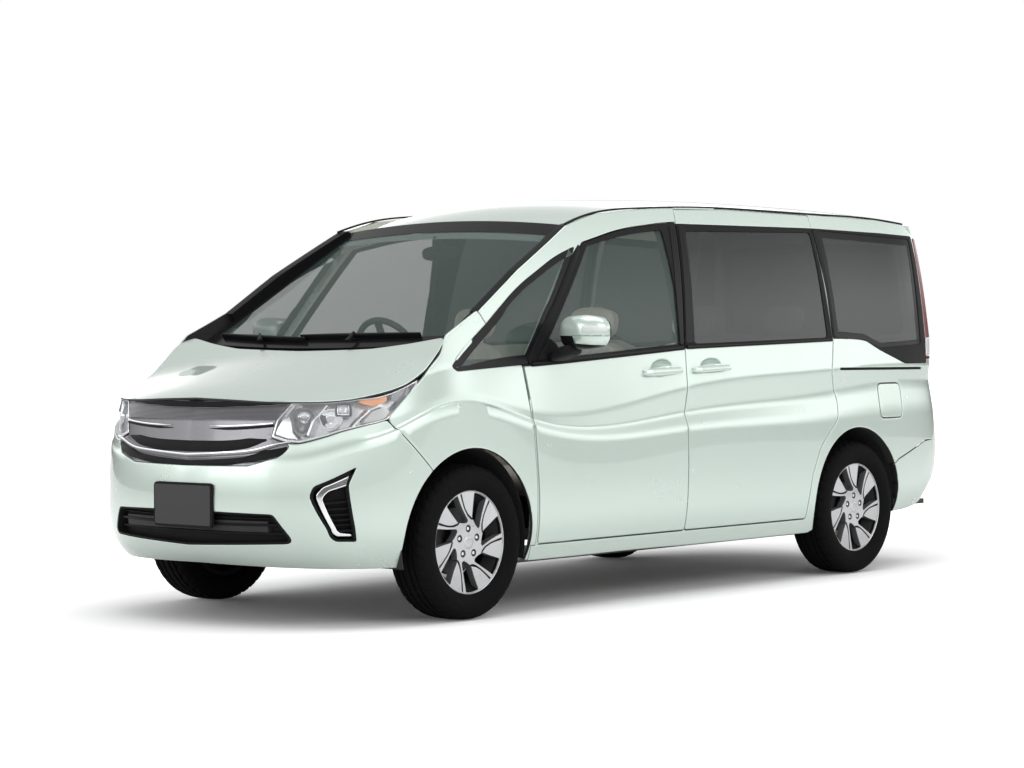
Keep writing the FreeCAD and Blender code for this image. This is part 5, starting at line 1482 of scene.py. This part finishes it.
smallPanels("mirrorSail", region([sideLine(sailLine, 0.008)]), (-0.001, 0.01), [blackPlastic], doorBody,
            roll=0.003)
print("mirrors made")

# Door handles: a bar over a cup, with its key hole
handle = {"bar": 0.029, "proud": 0.034}
handleSpots = {"frontHandle": (0.02, 0.305, 1.021, doorBody),
               "slideHandle": (-0.345, -0.06, 1.028, "body_shell")}


def cupBowl(name, loop):
    rings = [(1.03, 0.012), (1.0, 0.0022), (0.96, 0.005), (0.88, 0.011), (0.72, 0.017), (0.4, 0.021),
             (0.02, 0.022)]
    return bowl(name, loop.mean(0), loop - loop.mean(0), rings, paint)


def handleBar(name, low, high, height):
    path = sampled(skinMap([(high, height - 0.004), (low, height + 0.004)]), 0.006)
    along = np.linspace(0, 1, len(path))
    near = np.minimum(along, 1 - along)      # share of the way from the nearer end
    drop = handle["proud"] * 0.94 * (1 - np.clip(near / 0.13, 0, 1) ** 0.5)
    taper = 0.72 + 0.28 * np.clip(near / 0.15, 0, 1) ** 0.6
    section = flatBar(handle["bar"], -handle["proud"], -handle["proud"] + 0.013, 0.006)
    return ribbon(name, path, section, paint, taper=(along, taper), lift=drop)


for name, (low, high, height, bodyName) in handleSpots.items():
    twoSided(name + "Bar", lambda n: handleBar(n, low, high, height), bodyName, "body_paint")
    twoSided(name + "Cup", lambda n: cupBowl(n, cupLoops[name]), bodyName, "body_paint")
keySpot = skinMap([(0.052, 1.023)])[0]
twoSided("frontKeyHole", lambda n: bulge(n, keySpot, 0.0085, 0.004, -handle["proud"] + 0.008, chrome, 24),
         doorBody, "mirror_shell")
print("handles made")


# Mouldings along the belt, the roof and the windows
def sideStrip(name, points, width, top, bottom, material, bodyName="body_shell", roll=0.002, taper=None):
    path = skinMap(sampled(points, 0.012, 8) if len(points) > 2 else np.linspace(*points, 40))
    twoSided(name, lambda n: ribbon(n, path, flatBar(width, top, bottom, roll), material, taper=taper),
             bodyName)


def onBelt(belt, x, lift=0.006):
    (x0, z0), (x1, z1) = belt
    return x, z0 + (z1 - z0) * (x - x0) / (x1 - x0) + lift


sideStrip("frontBeltStrip", [onBelt(frontBelt, 1.058), onBelt(frontBelt, -0.018)], 0.02, -0.005, 0.008,
          blackGloss, doorBody)
sideStrip("slideBeltStrip", [onBelt(slideBelt, -0.044), onBelt(slideBelt, -1.226)], 0.02, -0.005, 0.008,
          blackGloss)
sideStrip("roofStrip", [(x, z + 0.004) for x, z in seam[3:11]], 0.008, -0.001, 0.012, blackPlastic)
sideStrip("quarterPost", [(1.074, 1.068), (0.641, 1.583)], 0.032, -0.0005, 0.012, blackSatin, roll=0.001,
          taper=([0, 0.94, 1], [1, 1, 0.45]))
pillarFront = [(0.004, 1.14), (-0.022, 1.14), (-0.06, 1.4), (-0.099, 1.69), (-0.052, 1.69), (-0.014, 1.4)]
pillarSlide = [(-0.04, 1.146), (-0.098, 1.146), (-0.14, 1.4), (-0.162, 1.688), (-0.122, 1.688), (-0.08, 1.4)]
for name, points, bodyName in (("pillarStripFront", pillarFront, doorBody),
                               ("pillarStripSlide", pillarSlide, "body_shell")):
    smallPanels(name, region([sideLine(points, [0.008, 0.008, 0.4] * 2)]), (-0.0005, 0.006), [blackGloss],
                bodyName, roll=0.002)
sideStrip("slideRail", [(-1.266, 1.012), (-2.041, 1.006)], 0.014, 0.01, 0.02, blackPlastic)
rearBand = [(-1.243, 1.159), (-1.236, 1.4), (-1.222, 1.704), (-1.533, 1.699), (-1.829, 1.694), (-2.11, 1.684),
            (-2.118, 1.56), (-2.116, 1.3), (-2.108, 1.03), (-1.862, 1.031), (-1.644, 1.102), (-1.54, 1.145),
            (-1.448, 1.16)]
bandRadii = [0.004, 0.5, 0.004, 0.3, 0.3, 0.01, 0.3, 0.3, 0.01, 0.02, 0.3, 0.05, 0.05]
smallPanels("rearBand", region([sideLine(rearBand, bandRadii)], [rearWindow]), (-0.0012, 0.004), [blackSatin],
            roll=0.0012)
sideStrip("rockerStrip", [(1.09, 0.262), (-0.955, 0.262)], 0.012, 0.0005, 0.006, blackPlastic)
print("mouldings made")

# Front wipers, parked along the foot of the windscreen
wipers = {
    "pivots": [(0.3, 0.012), (0.66, 0.012)],
    "blades": [((0.07, 0.062), (0.27, 0.06), (0.47, 0.052)), ((0.44, 0.072), (0.65, 0.078), (0.88, 0.07))],
}
for k, (pivot, blade) in enumerate(zip(wipers["pivots"], wipers["blades"])):
    middle = np.array(blade[1])
    arm = [pivot, np.array(pivot) * 0.45 + middle * 0.55 + (0, 0.006), middle]
    for name, points, sizes, material, taper in (
            ("wiperBlade", blade, (0.01, -0.016, -0.001, 0.002), rubber, None),
            ("wiperSpine", blade, (0.016, -0.022, -0.014, 0.003), blackSatin, ([0, 0.5, 1], [0.5, 1, 0.5])),
            ("wiperArm", arm, (0.02, -0.034, -0.022, 0.004), blackSatin, ([0, 1], [1.1, 0.5]))):
        path = sampled(np.array(points) * stretch, 0.02)
        piece = ribbon(f"{name}{k + 1}", path, flatBar(*sizes), material, place=onScreenMetres, taper=taper)
        settle(piece, "body_shell", "black_plastic")
print("wipers made")

# Shade band along the top of the windscreen
shadeGlass = glassOf("shadeGlass", (0.16, 0.2, 0.19), 0.72)
screenPanel("windscreenShade", [screenLoop(screenDepth + 0.051, 0.865, 0.914)], (0.0046, 0.0056), shadeGlass,
            "clear_glass", roll=0.0003, step=0.06)

# Seats: covers blown up over their padding, with seams that hold them down
seat = {
    "voxel": 0.008,
    "pressure": 4.0,
    "cap": 0.024,
    "frames": 20,
    "lean": 13.2,
}
seatFabric = finishOf("seatFabric", (0.6, 0.57, 0.51), 0.85, specular=0.25)
varied(seatFabric, 60, (0.55, 0.52, 0.46), (0.64, 0.61, 0.55))
bumped(roughened(seatFabric, 40, 0.8, 0.92), 900, 0.5, 0.0008)


def coordsOf(piece):
    table = np.zeros(len(piece.data.vertices) * 3)
    piece.data.vertices.foreach_get("co", table)
    return table.reshape(-1, 3)


def applied(piece, modifier):
    alone(piece)
    bpy.ops.object.modifier_apply(modifier=modifier.name)


def swollen(piece, pinned):
    # an even net over the shape, then cloth with air in it; the pinned points are the seams
    even = piece.modifiers.new("even", "REMESH")
    even.mode, even.voxel_size = "VOXEL", seat["voxel"] * 1
    applied(piece, even)
    before = coordsOf(piece)
    group = piece.vertex_groups.new(name="seams")
    group.add([int(k) for k in np.flatnonzero(pinned(before))], 1.0, "REPLACE")
    cloth = piece.modifiers.new("cover", "CLOTH")
    cloth.settings.use_pressure = True
    cloth.settings.uniform_pressure_force = seat["pressure"]
    cloth.settings.effector_weights.gravity = 0
    cloth.settings.vertex_group_mass = "seams"
    cloth.settings.quality = 4
    cloth.point_cache.frame_end = seat["frames"]
    for frameNumber in range(1, seat["frames"] + 1):
        bpy.context.scene.frame_set(frameNumber)
    applied(piece, cloth)
    bpy.context.scene.frame_set(1)
    moved = coordsOf(piece) - before
    far = np.linalg.norm(moved, axis=1)
    moved *= (np.minimum(far, seat["cap"]) / np.maximum(far, 1e-9))[:, None]
    piece.data.vertices.foreach_set("co", (before + moved).ravel())
    piece.data.update()
    piece.vertex_groups.clear()
    return smoothed(piece, 60)


def cushionShape(spots):
    # sides that rise a little, a front edge that rolls down
    spots[:, 2] += 0.022 * np.clip((np.abs(spots[:, 1]) - 0.13) / 0.1, 0, 1) * (spots[:, 2] > 0)
    spots[:, 2] -= 0.02 * np.clip((spots[:, 0] - 0.12) / 0.12, 0, 1) ** 2 * (spots[:, 2] > 0)
    return spots


def backShape(spots):
    # side pads forward, shoulders narrower than the waist
    spots[:, 0] += 0.026 * np.clip((np.abs(spots[:, 1]) - 0.12) / 0.1, 0, 1) * (spots[:, 0] > 0)
    spots[:, 1] *= 1 - 0.1 * np.clip((spots[:, 2] - 0.1) / 0.24, 0, 1)
    return spots


def seams(out, between, up, across, foot):
    # two seams along the padded side and one between them, and the back that is held to the frame
    def pinned(spots):
        padded = spots[:, out] > 0
        along = np.abs(np.abs(spots[:, 1]) - across) < 0.005
        middle = (np.abs(spots[:, up] - between) < 0.005) & (np.abs(spots[:, 1]) < across)
        return (along & padded) | (spots[:, out] < foot) | (middle & padded)
    return pinned


def headSeams(spots):
    return (np.abs(np.abs(spots[:, 1]) - 0.095) < 0.004) | (spots[:, 2] < -0.062)


def seatParts():
    here = (0, 0, 0)
    cushion = roundedBox("seatCushion", here, (0.235, 0.225, 0.06), 4.5, [seatFabric], 64, 48, cushionShape)
    back = roundedBox("seatBack", here, (0.05, 0.22, 0.33), 4.0, [seatFabric], 64, 48, backShape)
    head = roundedBox("seatHead", here, (0.042, 0.118, 0.074), 3.2, [seatFabric], 48, 32)
    return {"Cushion": swollen(cushion, seams(2, 0.1, 0, 0.135, -0.045)),
            "Back": swollen(back, seams(0, 0.16, 2, 0.125, -0.04)), "Head": swollen(head, headSeams)}


def seatAt(tag, x, y, low, width, nodes, masters):
    # x of the cushion's rear end, as in the CAD, and the height of its underside
    wide = Matrix.Diagonal((1, width / 0.5, 1, 1))
    lean = Matrix.Rotation(math.radians(-seat["lean"]), 4, "Y")
    spots = {"Cushion": Matrix.Translation((x + 0.262, y, low + 0.082)) @ wide,
             "Back": Matrix.Translation((x - 0.042, y, low + 0.385)) @ lean @ wide,
             "Head": Matrix.Translation((x - 0.128, y, low + 0.8)) @ lean}
    for part, master in masters.items():
        piece = clone(master, "seat" + part + tag)
        piece.data.transform(spots[part])
        settle(piece, "body_shell", "seat_fabric", *(nodes if part == "Cushion" else []))
    base = roundedBox("seatBase" + tag, (x + 0.24, y, low - 0.075), (0.19, width / 2 - 0.05, 0.095), 6.0,
                      [dashPlastic], 40, 20)
    settle(base, "body_shell", "dash_plastic")
    for k, side in enumerate((-0.06, 0.06)):
        bpy.ops.object.select_all(action="DESELECT")
        bpy.ops.mesh.primitive_cylinder_add(vertices=20, radius=0.006, depth=0.13, location=(0, 0, 0))
        post = bpy.context.object
        post.name = post.data.name = f"seatPost{tag}{k + 1}"
        post.data.materials.append(chrome)
        post.data.transform(Matrix.Translation((x - 0.108, y + side, low + 0.715)) @ lean)
        settle(smoothed(post), "body_shell", "mirror_shell")


masters = seatParts()
for row, x, y, low, width, node in (("Front", 0.23, 0.36, 0.44, 0.5, "front_seats"),
                                    ("Middle", -0.64, 0.3, 0.44, 0.57, "rear_seats"),
                                    ("Back", -1.48, 0.25, 0.46, 0.48, "")):
    seatAt(row + "Left", x, y, low, width, [node] if node else [], masters)
    seatAt(row + "Right", x, -y, low, width, [node] if row == "Front" else [], masters)
for master in masters.values():
    bpy.data.objects.remove(master)
print("seats made")


# Dashboard details, rear-view mirror
def hoodShape(spots):
    spots[:, 2] *= np.where(spots[:, 2] > 0, 1 - 0.4 * np.clip(spots[:, 0] / 0.12, 0, 1), 1)
    return spots


for name, middle, half, power, material, more, slotName in (
        ("instrumentHood", (1.0, -0.36, 1.088), (0.115, 0.205, 0.04), 3.0, dashPlastic, (48, 24, hoodShape),
         "dash_plastic"),
        ("dashScreen", (0.868, 0.0, 1.02), (0.012, 0.105, 0.06), 6.0, blackGloss, (40, 24), "black_plastic"),
        ("rearViewMirror", (0.742, 0.0, 1.56), (0.014, 0.115, 0.034), 3.2, blackPlastic, (40, 24),
         "black_plastic"),
        ("rearViewFoot", (0.775, 0.0, 1.602), (0.024, 0.012, 0.036), 3.0, blackPlastic, (24, 16),
         "black_plastic")):
    settle(roundedBox(name, middle, half, power, [material], *more), "body_shell", slotName)

# The CAD's own pieces that stay keep their shape and get these finishes
tankPlastic = bumped(roughened(finishOf("tankPlastic", (0.022, 0.022, 0.023), 0.6), 15, 0.5, 0.7), 140, 0.3,
                     0.001)
cabinFloor = finishOf("cabinFloor", (0.09, 0.088, 0.082), 0.95, specular=0.2)
bumped(varied(cabinFloor, 40, (0.07, 0.068, 0.064), (0.11, 0.107, 0.1)), 600, 0.7, 0.0012)
nodeFinish = {
    "cowl": blackPlastic, "dashboard": dashPlastic, "engine": castSteel, "exhaust": steelPipe,
    "floor_pan": cabinFloor, "front_frame": underseal, "front_subframe": castSteel,
    "fuel_tank": tankPlastic, "knuckle_left": castSteel, "knuckle_right": castSteel,
    "rear_axle": castSteel, "steering_wheel": dashPlastic, "wheel_house_front_left": underseal,
    "wheel_house_front_right": underseal, "wheel_house_rear_left": underseal,
    "wheel_house_rear_right": underseal,
}
for name, finish in nodeFinish.items():
    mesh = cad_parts[name].data
    for k in range(len(mesh.materials)):
        mesh.materials[k] = finish
print("cabin and underbody finished")

# Ground, background, light and camera
view = {
    "place": (10.3116, 8.581, 1.2159),
    "yaw": -139.5365,
    "down": 1.1193,
    "roll": -0.2612,
    "lens": 99.2,
    "floorLift": 0.0,
    "skyGain": 2.2,
    # height of the direction and share of the gain: a dark horizon, a bright strip above it, a dim top
    "sky": [(0.0, 0.04), (1.0, 0.26), (0.06, 0.06), (0.11, 0.6), (0.16, 1.0), (0.23, 0.75), (0.33, 0.36),
            (0.5, 0.26)],
}


def addFloor():
    bpy.ops.mesh.primitive_plane_add(size=1, location=(0, 0, 0))
    floor = bpy.context.object
    floor.name = floor.data.name = "floor"
    floor.data.transform(Matrix.Diagonal((120, 120, 1, 1)))
    material, tree, shader = shaderOf("whiteFloor", (0.93, 0.93, 0.93), 0.9, 0.1)
    # what the camera sees of it is lifted to white, more with distance, and the real shadow stays; being
    # lifted least near the car, it is also painted shade round the car
    place = added(tree, "TexCoord")
    oval = added(tree, "VectorMath", {1: (0.42, 1.0, 0)}, "MULTIPLY")      # about 1 at the outline of the car
    away = added(tree, "VectorMath", operation="LENGTH")
    spread = spreadOf(tree, view["floorLift"], 1.0)
    filled(spread, {"From Min": 0.85, "From Max": 2.6})
    seen, either = added(tree, "LightPath"), added(tree, "Math", operation="MAXIMUM")
    every = added(tree, "Math", {1: 0.5}, "MAXIMUM")      # other rays see half of it
    strength = added(tree, "Math", operation="MULTIPLY")
    tone = spreadOf(tree, 0.32, 0.93)      # it throws less light up than it shows
    glow = added(tree, "Emission", {"Color": (1, 1, 1, 1)})
    both = added(tree, "AddShader")
    wire(tree, (place, "Object", oval, 0), (oval, 0, away, 0), (away, "Value", spread, "Value"),
         (seen, "Is Camera Ray", either, 0), (seen, "Is Transmission Ray", either, 1), (either, 0, every, 0),
         (every, 0, tone, "Value"), (tone, 0, shader, "Base Color"), (every, 0, strength, 0),
         (spread, 0, strength, 1), (strength, 0, glow, "Strength"), (shader, 0, both, 0), (glow, 0, both, 1),
         (both, 0, tree.nodes["Material Output"], "Surface"))
    floor.data.materials.append(material)
    return floor


def addWorld():
    world = bpy.data.worlds.new("studio")
    bpy.context.scene.world = world
    world.use_nodes = True
    tree = world.node_tree
    ground = filled(tree.nodes["Background"], {"Strength": view["skyGain"]})
    ramp = added(tree, "ValToRGB")
    ramp.color_ramp.interpolation = "B_SPLINE"
    for element, (height, shade) in zip(ramp.color_ramp.elements, view["sky"]):
        element.position, element.color = height, (shade, shade, shade, 1)
    for height, shade in view["sky"][2:]:
        ramp.color_ramp.elements.new(height).color = (shade, shade, shade, 1)
    split, seen, mix = added(tree, "SeparateXYZ"), added(tree, "LightPath"), added(tree, "MixShader")
    white = added(tree, "Background", {"Color": (1, 1, 1, 1)})
    wire(tree, (added(tree, "TexCoord"), "Generated", split, 0), (split, "Z", ramp, 0),
         (ramp, 0, ground, "Color"), (seen, "Is Camera Ray", mix, 0), (ground, 0, mix, 1), (white, 0, mix, 2),
         (mix, 0, tree.nodes["World Output"], "Surface"))


def addLamp(name, place, aim, size, power):
    data = bpy.data.lights.new(name, "AREA")
    data.shape, data.size, data.size_y = "RECTANGLE", size[0], size[1]
    data.energy = power
    lamp = bpy.data.objects.new(name, data)
    bpy.context.scene.collection.objects.link(lamp)
    lamp.location = place
    lamp.rotation_euler = (Vector(aim) - Vector(place)).to_track_quat("-Z", "Y").to_euler()


def addCamera():
    data = bpy.data.cameras.new("photoCamera")
    data.lens, data.sensor_width = view["lens"], 36
    data.clip_end = 200
    camera = bpy.data.objects.new("photoCamera", data)
    bpy.context.scene.collection.objects.link(camera)
    yaw, down, roll = (math.radians(view[k]) for k in ("yaw", "down", "roll"))
    ahead = Vector((math.cos(down) * math.cos(yaw), math.cos(down) * math.sin(yaw), -math.sin(down)))
    right = ahead.cross(Vector((0, 0, 1))).normalized()
    up = right.cross(ahead)
    right, up = right * math.cos(roll) + up * math.sin(roll), up * math.cos(roll) - right * math.sin(roll)
    camera.matrix_world = Matrix((
        (right.x, up.x, -ahead.x, view["place"][0]), (right.y, up.y, -ahead.y, view["place"][1]),
        (right.z, up.z, -ahead.z, view["place"][2]), (0, 0, 0, 1)))
    bpy.context.scene.camera = camera


addFloor()
addWorld()
addLamp("topLight", (0.5, 1.0, 6.0), (0, 0, 0.8), (7, 4), 190)
addLamp("sideLight", (1.0, 7.5, 4.2), (0, 0, 0.9), (6, 2.5), 95)
addLamp("frontLight", (8.0, -2.5, 2.8), (0.5, 0, 0.8), (4, 3), 60)
addCamera()
bpy.context.scene.view_settings.view_transform = "Standard"

print("scene finished")
